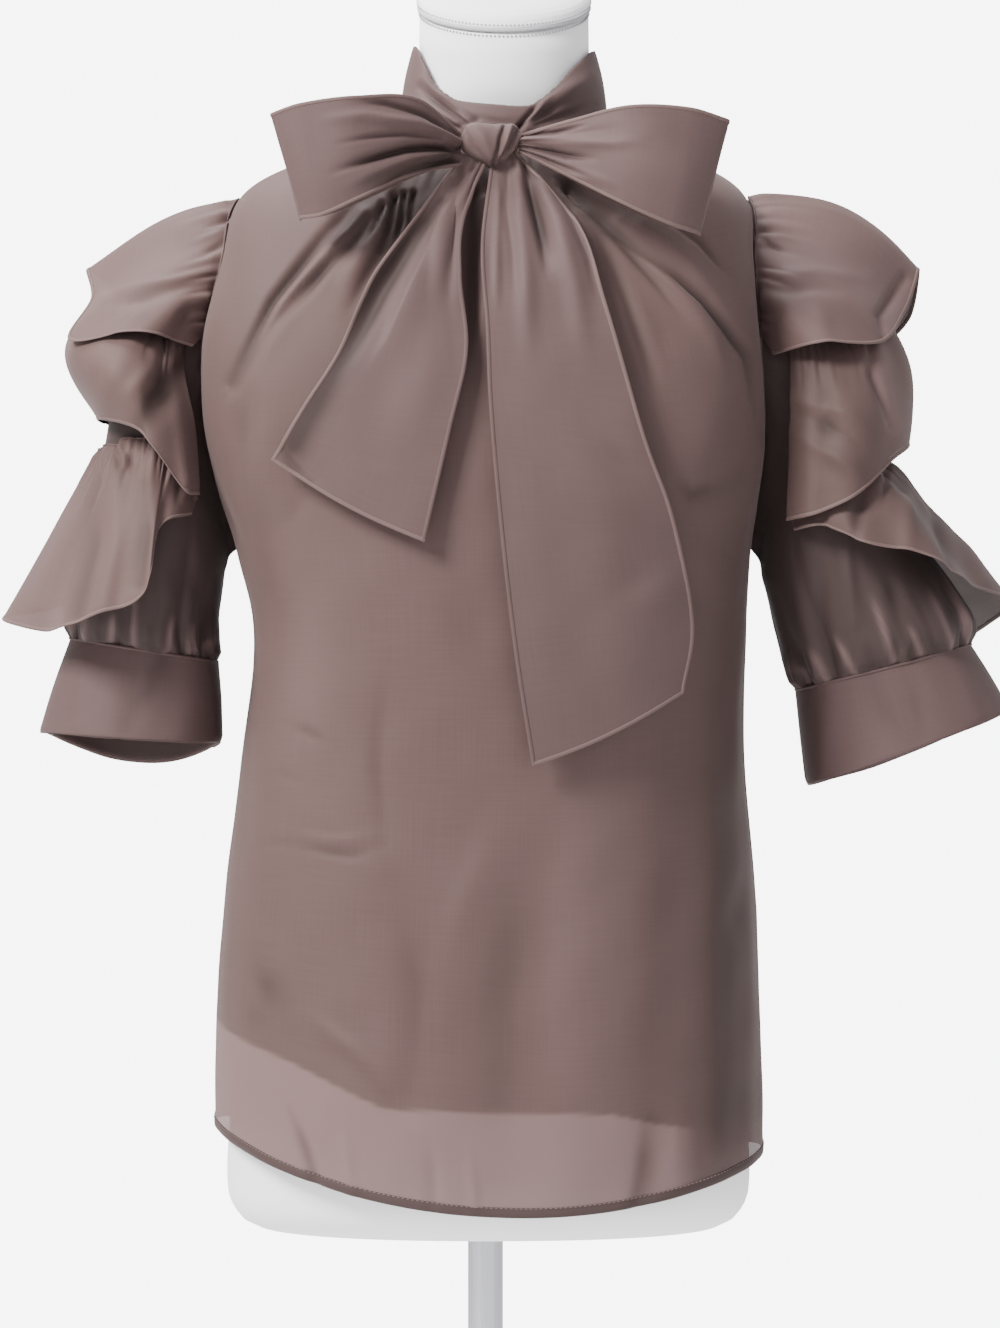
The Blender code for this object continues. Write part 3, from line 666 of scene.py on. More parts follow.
@dataclass(frozen=True)
class JerseyFinish:
    """White knitted cover of the dress form."""

    name: str = "white_cotton_jersey"
    colour: str = "#f0f0f3"
    wale_pitch: float = 0.0011

    def build(self) -> bpy.types.Material:
        """Make the material.

        Returns:
            The material.
        """
        sheet = NodeSheet(self.name)
        place = sheet.add("ShaderNodeTexCoord", "place on the form")
        wales = sheet.add("ShaderNodeTexWave", "knitted wales",
                          {"Vector": place.outputs["UV"],
                           "Scale": WAVE_PERIOD / self.wale_pitch,
                           "Distortion": 0.8, "Detail": 2.0}, bands_direction="X")
        fuzz = sheet.add("ShaderNodeTexNoise", "short nap",
                         {"Vector": place.outputs["Object"], "Scale": 900.0,
                          "Detail": 3.0})
        both = sheet.add("ShaderNodeMath", "knit relief",
                         {"0": wales.outputs["Fac"], "1": fuzz.outputs[0]},
                         operation="ADD")
        bump = sheet.add("ShaderNodeBump", "soft relief",
                         {"Height": both.outputs[0], "Strength": 0.35,
                          "Distance": 0.00006})
        sheet.feed("Normal", bump.outputs[0])
        sheet.settle(Base_Color=linear(self.colour), Roughness=0.85, Sheen_Weight=0.15,
                     Sheen_Roughness=0.5, Specular_IOR_Level=0.2)
        return sheet.material


@dataclass(frozen=True)
class PlainFinish:
    """A finish with one colour and a fine grain."""

    name: str
    colour: str
    roughness: float
    metallic: float = 0.0
    grain: float = 0.0
    grain_scale: float = 1500.0

    def build(self) -> bpy.types.Material:
        """Make the material.

        Returns:
            The material.
        """
        sheet = NodeSheet(self.name)
        if self.grain > 0.0:
            place = sheet.add("ShaderNodeTexCoord", "place")
            grain = sheet.add("ShaderNodeTexNoise", "fine grain",
                              {"Vector": place.outputs["Object"],
                               "Scale": self.grain_scale, "Detail": 2.0})
            bump = sheet.add("ShaderNodeBump", "grain relief",
                             {"Height": grain.outputs[0], "Strength": 0.4,
                              "Distance": self.grain})
            sheet.feed("Normal", bump.outputs[0])
        sheet.settle(Base_Color=linear(self.colour), Roughness=self.roughness,
                     Metallic=self.metallic)
        return sheet.material


ORGANZA = WovenFinish("mauve_sheer_organza", "#594746", "#473734", 0.975)
RUFFLE_ORGANZA = WovenFinish("mauve_organza_ruffle", "#5b4948", "#493835", 0.995)
DENSE_ORGANZA = WovenFinish("mauve_organza_folded_double", "#554544", "#463635")
HEM_ORGANZA = WovenFinish("mauve_organza_rolled_hem", "#443736", "#3b2f2e", sheen=0.1)
# Lighter than the cloth: a painted highlight along the narrow hems of loops, ruffles and tails.
HIGHLIT_EDGE_ORGANZA = WovenFinish("mauve_organza_narrow_hem", "#604f4d", "#544341", sheen=0.1)
# Darker than the other organza: the shade under the ruffles is painted into the under-sleeve's
# colour.
SHADED_SLEEVE_ORGANZA = WovenFinish("mauve_organza_under_sleeve", "#403433", "#362b2a", 0.995, 0.1)
LINING = WovenFinish("mauve_woven_lining", "#4d3d3b", "#443532", sheen=0.08,
                     thread_pitch=0.00026)
THREAD = PlainFinish("mauve_sewing_thread", "#6f5e5d", 0.6)
FORM_THREAD = PlainFinish("white_sewing_thread", "#a9a9ad", 0.7)
STEEL = PlainFinish("satin_steel", "#c3c4c9", 0.32, metallic=1.0, grain=0.00002)
BUTTON = PlainFinish("fabric_covered_button", "#6c5b59", 0.5, grain=0.00003)
FLOOR = PlainFinish("pale_matt_floor", "#f4f4f4", 0.8)


# Pieces

HEM_OVERHANG = 0.3
HEM_LOOK_IN = 0.03


@dataclass(frozen=True)
class Cut:
    """The flat cloth of a piece, in metres, and how it is held."""

    width: float
    length: float
    held: Held
    area: float
    rests_on: tuple[str, ...] = ("dress_form",)


@dataclass
class Piece:
    """A made cloth piece with its trims."""

    made: bpy.types.Object
    drape: Drape
    cut: Cut
    trims: list[bpy.types.Object] = field(default_factory=list)


class Atelier:
    """Makes pieces, finishes them and puts them in the frame."""

    def __init__(self) -> None:
        """Build every finish once."""
        finishes = (ORGANZA, RUFFLE_ORGANZA, DENSE_ORGANZA, HEM_ORGANZA, HIGHLIT_EDGE_ORGANZA,
                    SHADED_SLEEVE_ORGANZA, LINING, JerseyFinish(), THREAD, FORM_THREAD, STEEL,
                    BUTTON, FLOOR)
        self.materials = {f.name: f.build() for f in finishes}
        self.pieces: list[Piece] = []
        self.shift = np.array([GARMENT_SHIFT_X, 0.0, 0.0])

    def place(self, name: str, bm: bmesh.types.BMesh, finish: str,
              slot: str | None = None, nodes: Sequence[str] = ()) -> bpy.types.Object:
        """Turn a mesh into a shown piece of the object.

        Args:
            name: the piece's name.
            bm: its mesh, which is freed.
            finish: name of its material.
            slot: material slot of the record, not used.
            nodes: CAD nodes that it stands for.

        Returns:
            The object.
        """
        mesh = bpy.data.meshes.new(name)
        bm.to_mesh(mesh)
        bm.free()
        mesh.materials.append(self.materials[finish])
        mesh.shade_smooth()
        made = show(name, mesh)
        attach(made, "root")
        if nodes:
            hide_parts(*nodes)
        LOG.info("%s: %d faces", name, len(mesh.polygons))
        return made

    def grid(self, surface: Surface, columns: int, rows: int,
             span: tuple[float, float] = (1.0, 1.0), merge: bool = False,
             facing: Facing | None = None,
             tone: Callable[[Array, Array], Array] | None = None
             ) -> bmesh.types.BMesh:
        """A grid of faces moved onto a surface, with its UV map in metres.

        Args:
            surface: points in mm from places across and down.
            columns: faces across.
            rows: faces down.
            span: the cloth's width and length in metres.
            merge: whether the sides meet.
            facing: outward directions, to turn the faces by.
            tone: the cloth's painted shade and painted light, kept as an attribute for the
                finish.

        Returns:
            The mesh.
        """
        bm = bmesh.new()
        bmesh.ops.create_grid(bm, x_segments=columns, y_segments=rows, size=1.0)
        flat = np.array([v.co[:2] for v in bm.verts]) / 2.0 + 0.5
        points = surface(flat[:, 0], flat[:, 1])
        uv = bm.loops.layers.uv.new("cloth")
        for face in bm.faces:
            for loop in face.loops:
                u, v = flat[loop.vert.index]
                loop[uv].uv = (u * span[0], v * span[1])
        if tone is not None:
            layer = bm.verts.layers.float.new(PAINTED_SHADING_ATTRIBUTE)
            for vert, depth in zip(bm.verts, tone(flat[:, 0], flat[:, 1])):
                vert[layer] = depth
        if facing is not None:
            outward = facing(flat[:, 0], flat[:, 1], points)
        for vert, point in zip(bm.verts, (points + self.shift) * MM):
            vert.co = point
        bm.normal_update()
        if facing is not None:
            agree = sum(vert.normal.dot(Vector(outward[vert.index])) for vert in bm.verts)
            if agree < 0.0:
                bmesh.ops.reverse_faces(bm, faces=bm.faces)
        if merge:
            bmesh.ops.remove_doubles(bm, verts=bm.verts, dist=0.00005)
        return bm

    def cloth(self, name: str, drape: Drape, columns: int, rows: int, cut: Cut,
              node: str, finish: str = ORGANZA.name, slot: str = "organza",
              thickness: float = 0.0) -> Piece:
        """A cloth piece that stands for its CAD node.

        Args:
            name: the piece's name.
            drape: its surface.
            columns: faces across.
            rows: faces down.
            cut: its flat cloth.
            node: the CAD node.
            finish: name of its material.
            slot: material slot of the record.
            thickness: wall in mm, or 0 for a single layer of sheer cloth.

        Returns:
            The piece.
        """
        bm = self.grid(drape.points, columns, rows, (cut.width, cut.length), drape.wrap,
                       drape.facing, drape.tone)
        made = self.place(name, bm, finish, slot, (node,))
        if thickness > 0.0:
            wall = made.modifiers.new("wall", "SOLIDIFY")
            wall.thickness = thickness * MM
            wall.offset = 0.0
        piece = Piece(made, drape, cut)
        self.pieces.append(piece)
        return piece

    def hem(self, piece: Piece, edge: Edge, width: float, thick: float, count: int = 160,
            finish: str = HIGHLIT_EDGE_ORGANZA.name, stitches: float = 0.0) -> None:
        """A turned and stitched edge on a cloth piece.

        Args:
            piece: the cloth.
            edge: which edge.
            width: breadth of the turned strip, in mm.
            thick: its thickness, in mm.
            count: sections along it.
            finish: name of its material.
            stitches: pitch of the stitches in mm, or 0 for none.
        """
        drape = piece.drape
        fixed, value = edge.value
        along, near = np.linspace(0.0, 1.0, count), np.full(count, value)
        deep = np.full(count, abs(value - HEM_LOOK_IN))
        first, second = (((near, along), (deep, along)) if fixed == "u"
                         else ((along, near), (along, deep)))
        line = drape.points(*first)
        inward = unit(drape.points(*second) - line)
        outward = drape.normals(*first, drape.shape(*first))
        name = f"{piece.made.name}_{edge.name.lower()}_hem"
        middle = line + inward * (width * 0.5 - HEM_OVERHANG)
        piece.trims.append(self.rod(name, middle, inward * width / 2.0,
                                    outward * thick / 2.0, 8, (0.6, width * 2.0 * MM),
                                    finish, "organza"))
        if stitches > 0.0:
            seam = line + inward * (width - 0.8) + outward * (thick * 0.5)
            piece.trims.append(self.stitches(name + "_stitches", seam, stitches))

    def rod(self, name: str, line: Array, first: Array, second: Array, sides: int,
            span: tuple[float, float], finish: str, slot: str | None) -> bpy.types.Object:
        """A long thin piece of oval section.

        Args:
            name: the piece's name.
            line: points in mm.
            first: half its breadth at each point, as vectors.
            second: half its thickness at each point, as vectors.
            sides: faces round it.
            span: its flat cloth in metres.
            finish: name of its material.
            slot: material slot of the record.

        Returns:
            The object.
        """
        def skin(u: Array, v: Array) -> Array:
            """Points round the line."""
            at = np.rint(u * (len(line) - 1)).astype(int)
            turn = v[:, None] * TURN
            return line[at] + first[at] * np.cos(turn) + second[at] * np.sin(turn)

        bm = self.grid(skin, len(line) - 1, sides, span, merge=True)
        bmesh.ops.recalc_face_normals(bm, faces=bm.faces)
        return self.place(name, bm, finish, slot)

    def tube(self, name: str, line: Array, radius: float, sides: int = 8,
             finish: str = THREAD.name, slot: str | None = None) -> bpy.types.Object:
        """A thin round piece along a line.

        Args:
            name: the piece's name.
            line: points in mm.
            radius: its radius in mm.
            sides: faces round it.
            finish: name of its material.
            slot: material slot of the record.

        Returns:
            The object.
        """
        way = unit(np.gradient(line, axis=0))
        across = unit(np.cross(way, np.array([0.13, 0.21, 0.97])))
        return self.rod(name, line, radius * across, radius * np.cross(way, across), sides,
                        (0.5, 0.01), finish, slot)

    def seam(self, piece: Piece, name: str, line: Array, radius: float) -> None:
        """A folded seam of a cloth piece.

        Args:
            piece: the cloth.
            name: the seam's name.
            line: points in mm.
            radius: its radius in mm.
        """
        piece.trims.append(self.tube(name, line, radius, finish=DENSE_ORGANZA.name,
                                     slot="organza"))

    def stitches(self, name: str, line: Array, pitch: float, radius: float = 0.28,
                 finish: str = THREAD.name, share: float = 0.62) -> bpy.types.Object:
        """A row of stitches along a line.

        Args:
            name: the piece's name.
            line: points in mm.
            pitch: distance from stitch to stitch in mm.
            radius: the thread's radius in mm.
            finish: name of its material.
            share: length of a stitch against the pitch.

        Returns:
            The object.
        """
        steps = np.linalg.norm(np.diff(line, axis=0), axis=1)
        run = np.concatenate(([0.0], np.cumsum(steps)))
        count = max(2, int(run[-1] / pitch))
        bm = bmesh.new()
        for i in range(count):
            ends = [(i + 0.5 + s * share / 2.0) * run[-1] / count for s in (-1.0, 1.0)]
            a, b = (Vector([np.interp(e, run, line[:, k]) for k in range(3)])
                    for e in ends)
            turn = (b - a).to_track_quat("Z", "Y").to_matrix().to_4x4()
            middle = ((a + b) / 2.0 + Vector(self.shift)) * MM
            size = Matrix.Diagonal((radius * MM, radius * MM, (b - a).length * MM / 2.0,
                                    1.0))
            bmesh.ops.create_icosphere(bm, subdivisions=1, radius=1.0,
                                       matrix=Matrix.Translation(middle) @ turn @ size)
        return self.place(name, bm, finish)


# Sections of the bodice, as in the solids


@dataclass(frozen=True)
class Level:
    """A row of a bodice panel."""

    row: float
    mid_z: float
    mid_y: float
    side_z: float
    side_y: float
    left_x: float
    right_x: float
    power: float


FRONT_LEVELS = (
    Level(0.00, 1292, -66, 1318, -1, -57, 75, 2.0),
    Level(0.08, 1268, -85, 1296, -1, -104, 116, 2.2),
    Level(0.18, 1232, -103, 1266, -2, -158, 163, 2.5),
    Level(0.27, 1196, -117, 1222, -34, -168, 166, 2.8),
    Level(0.36, 1152, -128, 1166, -44, -180, 170, 3.0),
    Level(0.45, 1106, -134, 1105, -34, -177, 172, 3.0),
    Level(0.54, 1050, -136, 1042, -1, -161, 166, 2.8),
    Level(0.62, 985, -133, 985, -1, -150, 163, 2.6),
    Level(0.70, 905, -128, 910, -1, -158, 162, 2.4),
    Level(0.80, 815, -127, 825, -1, -168, 169, 2.4),
    Level(0.90, 725, -129, 745, -1, -174, 172, 2.4),
    Level(1.00, 634, -132, 668, -1, -175, 174, 2.4),
)
BACK_MIDDLES = ((1326, 62), (1300, 80), (1258, 94), (1210, 103), (1158, 108), (1104, 109),
                (1042, 108), (985, 107), (905, 108), (815, 116), (725, 126), (630, 131))
BACK_LEVELS = tuple(replace(level, mid_z=z, mid_y=y, side_y=-level.side_y)
                    for level, (z, y) in zip(FRONT_LEVELS, BACK_MIDDLES))
SHOULDER_ROW = 0.18
ARMPIT_ROW = 0.54
LINING_ROWS = (0.06, 0.925)
NECK_CENTRE_X = 9.0
CENTRE_LINE_ROW = 0.30
HEM_TILT = 0.05
HEM_TILT_ROW = 0.75


def bodice_point(levels: Sequence[Level], u: Array, v: Array) -> Array:
    """Points of a smooth bodice panel.

    Args:
        levels: the panel's rows.
        u: -1 at the left edge to 1 at the right edge.
        v: 0 at the neck to 1 at the hem.

    Returns:
        Points in mm.
    """
    at = columns_at(levels, "row", v)
    blend = clamp((v - SHOULDER_ROW) / (ARMPIT_ROW - SHOULDER_ROW))
    rounded = np.maximum(blend, clamp(1.0 - v / SHOULDER_ROW))
    across = mix(u, np.sin(u * math.pi / 2.0), rounded)
    centre = NECK_CENTRE_X * clamp(1.0 - v / CENTRE_LINE_ROW)
    half = np.where(across > 0.0, at["right_x"] - centre, centre - at["left_x"])
    reach = np.abs(across)
    bow = clamp(1.0 - reach ** at["power"]) ** (1.0 / at["power"])
    x = centre + half * across
    y = at["side_y"] + (at["mid_y"] - at["side_y"]) * bow
    z = at["mid_z"] + (at["side_z"] - at["mid_z"]) * reach**2
    z = z - HEM_TILT * x * clamp((v - HEM_TILT_ROW) / (1.0 - HEM_TILT_ROW))
    return stacked(x, y, z)


def towards_front(_u: Array, _v: Array, points: Array) -> Array:
    """The direction to the viewer.

    Args:
        _u: places across, unused.
        _v: places down, unused.
        points: points in mm.

    Returns:
        Directions.
    """
    return stacked(np.zeros(len(points)), -1.0, 0.0)


from_body_axis = away_from(4.0, 20.0)
CHEST_FOLDS = (
    Fold(((-76, 1260), (-102, 1232), (-133, 1191), (-159, 1140)), -5.6, 3.2, 0.2, 0.3, 1.9),
    Fold(((-94, 1230), (-124, 1190), (-150, 1146)), 4.4, 8.0, 0.3),
    Fold(((-62, 1256), (-85, 1230), (-114, 1198), (-137, 1168), (-154, 1141)), -4.4, 2.6, 0.2,
         0.1, 2.0),
    Fold(((-66, 1250), (-80, 1234), (-100, 1211), (-125, 1183)), -3.6, 3.4, 0.2, 0.0, 1.7),
    Fold(((-54, 1244), (-62, 1229), (-77, 1201), (-90, 1174)), -3.4, 3.8, 0.3, 0.0, 1.6),
    Fold(((-78, 1246), (-92, 1220), (-112, 1190)), 3.6, 5.0, 0.7),
    Fold(((-64, 1252), (-74, 1226), (-96, 1190)), 3.2, 6.0, 0.7),
    Fold(((-59, 1258), (-61, 1242), (-67, 1222)), -4.8, 1.8, 1.0, 0.2),
    Fold(((-53, 1260), (-54, 1243), (-59, 1222)), -4.0, 1.6, 1.0, 0.2),
    Fold(((-47, 1260), (-49, 1244), (-52, 1222)), -3.8, 1.6, 1.0, 0.2),
    Fold(((-66, 1252), (-70, 1238), (-79, 1222)), -3.4, 1.8, 1.0, 0.1),
    Fold(((-146, 1150), (-150, 1110), (-148, 1070)), -1.6, 8.0),
    Fold(((-136, 1150), (-138, 1100), (-130, 1040)), 1.8, 11.0),
    Fold(((50, 1262), (67, 1231), (84, 1188), (94, 1158), (104, 1111)), -4.4, 4.0, 0.6, 0.0,
         1.6),
    Fold(((48, 1262), (80, 1233), (131, 1191), (158, 1158), (166, 1111)), -5.0, 3.0, 0.4, 0.2,
         1.9),
    Fold(((44, 1264), (71, 1237), (97, 1208), (128, 1171)), -3.6, 2.8, 0.4, 0.0, 1.7),
    Fold(((80, 1240), (108, 1208), (136, 1170), (150, 1134)), 3.4, 6.0, 0.6),
    Fold(((94, 1238), (124, 1212), (152, 1170)), 3.0, 7.0, 0.6),
    Fold(((58, 1246), (74, 1214), (94, 1172), (108, 1127)), 3.2, 7.0, 0.8),
    Fold(((104, 1246), (130, 1228), (154, 1200)), -2.6, 2.6, 0.5),
    Fold(((-9, 1258), (-10, 1225), (-11, 1190), (-14, 1130)), -3.2, 4.6, 1.0),
    Fold(((-2, 1254), (-3, 1218), (-3, 1160)), 3.0, 3.0, 1.0),
    Fold(((-22, 1250), (-24, 1215), (-28, 1170)), 3.0, 5.0, 0.8),
)
BELLY_FOLDS = (
    Fold(((-130, 934), (-109, 926), (-92, 920)), -1.7, 2.4, skew=2.4),
    Fold(((-130, 866), (-98, 860), (-64, 863)), 1.6, 4.0, skew=0.7),
    Fold(((-130, 859), (-84, 852), (-64, 858)), -1.9, 2.6, 0.0, 0.3, 1.8),
    Fold(((-150, 852), (-132, 858), (-112, 856)), -1.0, 2.2),
    Fold(((-140, 905), (-120, 897), (-104, 893)), -0.8, 3.5),
    Fold(((-152, 790), (-138, 770), (-134, 742)), -1.6, 9.0),
    Fold(((-118, 760), (-92, 742), (-66, 724)), 1.4, 5.0),
    Fold(((-62, 980), (-68, 900), (-62, 830)), -1.0, 7.0),
    Fold(((-58, 838), (-44, 771), (-50, 700)), -1.1, 11.0, 0.1, 0.6),
    Fold(((30, 892), (15, 826), (8, 759), (6, 660)), -1.3, 21.0, 0.0, 0.7),
    Fold(((62, 911), (50, 830), (44, 760), (48, 660)), 1.8, 20.0, 0.0, 0.8),
    Fold(((112, 960), (106, 860), (102, 760), (96, 650)), -1.2, 11.0, 0.0, 1.0, 1.8),
    Fold(((136, 980), (140, 860), (136, 760), (138, 670)), 2.0, 10.0, 0.0, 0.9),
    Fold(((158, 850), (156, 810), (160, 780)), -1.8, 9.0),
    Fold(((-122, 694), (-113, 672), (-106, 650)), -2.2, 3.0, 0.4, 0.9, 1.8),
    Fold(((-90, 690), (-86, 668), (-84, 646)), 1.4, 4.0, 0.2, 0.9),
    Fold(((-36, 680), (-34, 660), (-34, 640)), -1.2, 4.0, 0.2, 0.9),
    Fold(((-12, 674), (-10, 656), (-9, 638)), 1.0, 3.0, 0.2, 0.9),
    Fold(((98, 687), (95, 662), (90, 640)), -2.0, 5.0, 0.3, 1.0, 1.7),
    Fold(((104, 1090), (124, 1072), (150, 1082)), -2.0, 6.0),
    Fold(((-104, 1084), (-122, 1058), (-142, 1042)), -1.2, 6.0),
    Fold(((96, 1070), (128, 1030), (150, 1000)), 1.5, 9.0),
)
# Painted shade and painted light on the front: painted shade down the right side away from the
# key light, along creases, under the bust, under the bow and between the tails, and painted
# light (below 0) on lit places.
FRONT_PAINTED_SHADING = (
    Fold(((149, 1189), (153, 1068), (149, 947), (150, 826), (153, 705)), 0.42, 24.0, 0.4, 1.0),
    Fold(((121, 1032), (112, 911), (111, 826), (110, 729)), 0.18, 17.0, 0.0, 0.8),
    Fold(((141, 983), (144, 856), (142, 741), (141, 656)), 0.22, 13.0, 0.2, 0.8),
    Fold(((34, 892), (15, 826), (6, 759), (6, 705)), 0.22, 22.0, 0.1, 0.7),
    Fold(((-63, 977), (-71, 911), (-63, 838)), 0.18, 5.0, 0.2, 0.2),
    Fold(((-57, 838), (-45, 771), (-51, 711)), 0.16, 9.0, 0.2, 0.6),
    Fold(((-148, 790), (-133, 771), (-125, 747)), 0.24, 9.0, 0.3, 0.3),
    Fold(((-151, 759), (-138, 741)), 0.16, 9.0, 0.3, 0.3),
    Fold(((-144, 1086), (-138, 1032), (-124, 983)), 0.16, 9.0, 0.3, 0.2),
    Fold(((-30, 1032), (-17, 983), (-23, 947)), 0.12, 12.0, 0.3, 0.2),
    Fold(((-130, 857), (-84, 851), (-64, 858)), 0.2, 2.6, 0.1, 0.2),
    Fold(((-130, 933), (-109, 925), (-92, 919)), 0.16, 2.4, 0.1, 0.2),
    Fold(((-115, 747), (-84, 729), (-63, 708)), 0.16, 5.0, 0.1, 0.6),
    Fold(((127, 693), (144, 681), (158, 687)), 0.25, 16.0, 0.6, 0.8),
    Fold(((100, 687), (97, 656), (91, 629)), 0.3, 7.0, 0.6, 0.6),
    Fold(((-122, 694), (-113, 672), (-106, 647)), 0.3, 2.8, 0.4, 0.6),
    Fold(((58, 911), (49, 838), (46, 765), (52, 711)), -0.22, 20.0, 0.2, 0.6),
    Fold(((-115, 1032), (-112, 959), (-115, 886)), -0.18, 20.0, 0.2, 0.2),
    Fold(((6, 886), (-21, 826), (-39, 771)), -0.14, 8.0, 0.2, 0.2),
    Fold(((-115, 1219), (-138, 1159), (-138, 1098)), -0.14, 18.0, 0.2, 0.3),
    Fold(((-106, 753), (-84, 738), (-69, 728)), -0.14, 4.0, 0.1, 0.2),
    Fold(((-9, 1268), (-10, 1231), (-11, 1198), (-16, 1147), (-22, 1111)), 0.05, 7.0, 1.0, 0.1),
    Fold(((40, 1266), (61, 1245), (84, 1226)), 0.5, 8.0, 1.0, 0.1),
    Fold(((-90, 1236), (-67, 1246), (-40, 1258), (-13, 1271)), 0.6, 9.0, 0.3, 1.0),
    Fold(((111, 1067), (131, 1070), (154, 1084)), 0.24, 7.0, 0.1, 0.4),
    Fold(((67, 1231), (84, 1188), (94, 1158), (104, 1111)), 0.24, 6.0, 0.9, 0.1),
    Fold(((-104, 1230), (-135, 1190), (-160, 1142)), 0.3, 4.0, 0.3, 0.6),
    Fold(((-140, 1236), (-146, 1180), (-152, 1100)), 0.2, 30.0, 0.8, 0.5),
    Fold(((-70, 1243), (-98, 1212), (-122, 1184)), 0.22, 5.0, 0.9),
    Fold(((-50, 1254), (-62, 1230), (-80, 1200)), 0.24, 8.0, 1.0),
    Fold(((80, 1233), (131, 1191), (158, 1158)), 0.24, 3.5, 0.6, 0.4),
)
LINING_EDGE = ((-180, 748), (-159, 739), (-122, 726), (-83, 708), (-63, 699.5),
               (38, 697.5), (75, 696), (104, 689), (180, 676))
# Across these places, in mm, the painted light below the lining fades out.
PAINTED_LIGHT_BAND_END = (112.0, 128.0)


def painted_light_below_lining(points: Array) -> Array:
    """Painted light where only one layer of organza hangs over the white form, below the
    lining's hem.

    Args:
        points: points of the front or back in mm.

    Returns:
        Shares of painted light from 0 to 1.
    """
    edge = np.interp(points[:, 0], [p[0] for p in LINING_EDGE],
                     [p[1] for p in LINING_EDGE])
    low, high = PAINTED_LIGHT_BAND_END
    single = clamp((high - points[:, 0]) / (high - low))
    return 0.75 * single * smooth((edge - points[:, 2]) / 2.6)


BACK_FOLDS = behind(BELLY_FOLDS[:14], 10.0, 0.7) + tuple(
    replace(fold, side=Side.BACK) for fold in (
        Fold(((-40, 1300), (-72, 1262), (-106, 1210), (-128, 1150)), -1.8, 6.0, skew=1.8),
        Fold(((-30, 1296), (-52, 1252), (-72, 1200)), -1.6, 5.0, skew=1.6),
        Fold(((46, 1300), (80, 1258), (112, 1204), (136, 1136)), -2.0, 7.0, skew=0.6),
        Fold(((34, 1294), (58, 1246), (80, 1190)), -1.4, 5.0, skew=0.6),
        Fold(((-20, 1180), (-24, 1090), (-18, 990)), 1.2, 16.0),
        Fold(((70, 1120), (78, 1020), (72, 900)), -1.3, 15.0)))


class Bodice:
    """Front, two backs, their seams and hems, and the lining inside."""

    def __init__(self, atelier: Atelier) -> None:
        """Keep the maker.

        Args:
            atelier: makes the pieces.
        """
        self.atelier = atelier
        self.front = Drape(lambda u, v: bodice_point(FRONT_LEVELS, 2.0 * u - 1.0, v),
                           from_body_axis, CHEST_FOLDS + BELLY_FOLDS,
                           (Gathers(30, 2.2, 0.2, 5), Gathers(13, 2.2, 0.30, 8)),
                           (), 0.6, 3, edge_ease=0.03, shades=FRONT_PAINTED_SHADING,
                           bare=painted_light_below_lining)

    def back(self, sign: float) -> Drape:
        """Surface of one back panel.

        Args:
            sign: -1 for the left and 1 for the right.

        Returns:
            The surface, from the centre seam to the side.
        """
        def shape(u: Array, v: Array) -> Array:
            """Points of the smooth shape."""
            points = bodice_point(BACK_LEVELS, sign * u, v)
            points[:, 0] += sign * 0.35 * (1.0 - u)
            return points

        return Drape(shape, from_body_axis, BACK_FOLDS,
                     (Gathers(13, 2.2, 0.24, 11), Gathers(6, 2.4, 0.4, 12)), (), 0.6, 4,
                     middle_y=-5.0, edge_ease=0.04, bare=painted_light_below_lining)

    @staticmethod
    def lining(levels: Sequence[Level]) -> Drape:
        """Surface of a lining panel.

        Args:
            levels: rows of the panel that it lies under.

        Returns:
            The surface.
        """
        def shape(u: Array, v: Array) -> Array:
            """Points of the smooth shape."""
            across = 2.0 * u - 1.0
            row = mix(LINING_ROWS[0], LINING_ROWS[1], v) - 0.030 * across**2 * v**6
            points = bodice_point(levels, across, row)
            points[:, 0] *= 1.0 - 0.03 * across**2
            ease = 6.2 * (1.0 - 0.5 * across**2) + 1.6 * clamp(1.0 - row / 0.5)
            ease = np.minimum(ease, 0.6 * np.abs(points[:, 1]))
            points[:, 1] -= np.where(points[:, 1] < 0.0, -1.0, 1.0) * ease
            return points

        return Drape(shape, from_body_axis, (), (), (), 0.25, 9, edge_ease=0.05)

    def build(self) -> BVHTree:
        """Make every piece of the bodice.

        Returns:
            The front's surface, for what lies on it.
        """
        make = self.atelier
        front = make.cloth("front_panel", self.front, 210, 330,
                           Cut(0.48, 0.70, Held.GATHERED, 0.30), "front")
        make.hem(front, Edge.HEM, 6.2, 1.5, 200, HEM_ORGANZA.name, 3.0)
        tree_mesh = bmesh.new()
        tree_mesh.from_mesh(front.made.data)
        front_tree = BVHTree.FromBMesh(tree_mesh)
        tree_mesh.free()
        for name, sign in (("left", -1.0), ("right", 1.0)):
            panel = make.cloth(f"back_{name}_panel", self.back(sign), 90, 250,
                               Cut(0.24, 0.72, Held.GATHERED, 0.145), f"back_{name}")
            make.hem(panel, Edge.HEM, 6.2, 1.5, 110, HEM_ORGANZA.name, 3.0)
            for seam, first, last, count in (("side", ARMPIT_ROW, 1.0, 90),
                                             ("shoulder", 0.0, SHOULDER_ROW, 40)):
                line = bodice_point(FRONT_LEVELS, np.full(count, sign),
                                    np.linspace(first, last, count))
                line[:, 1] = 0.0
                make.seam(panel, f"{seam}_seam_{name}", line, 0.9)
        middle = bodice_point(BACK_LEVELS, np.zeros(120), np.linspace(0.16, 0.998, 120))
        middle[:, 1] += 0.3
        make.seam(panel, "centre_back_seam", middle, 1.0)
        for name, levels, node in (("front", FRONT_LEVELS, "lining_front"),
                                   ("back", BACK_LEVELS, "lining_back")):
            panel = make.cloth(f"lining_{name}_panel", self.lining(levels), 80, 110,
                               Cut(0.46, 0.56, Held.HUNG, 0.25), node, LINING.name,
                               "lining", 0.5)
            make.hem(panel, Edge.HEM, 9.0, 1.3, 150, LINING.name)
        return front_tree


# Collar and bow


@dataclass(frozen=True)
class Spoke:
    """Top edge of the collar at an angle from the front."""

    angle: float
    top_z: float
    top_reach: float
    bulge: float


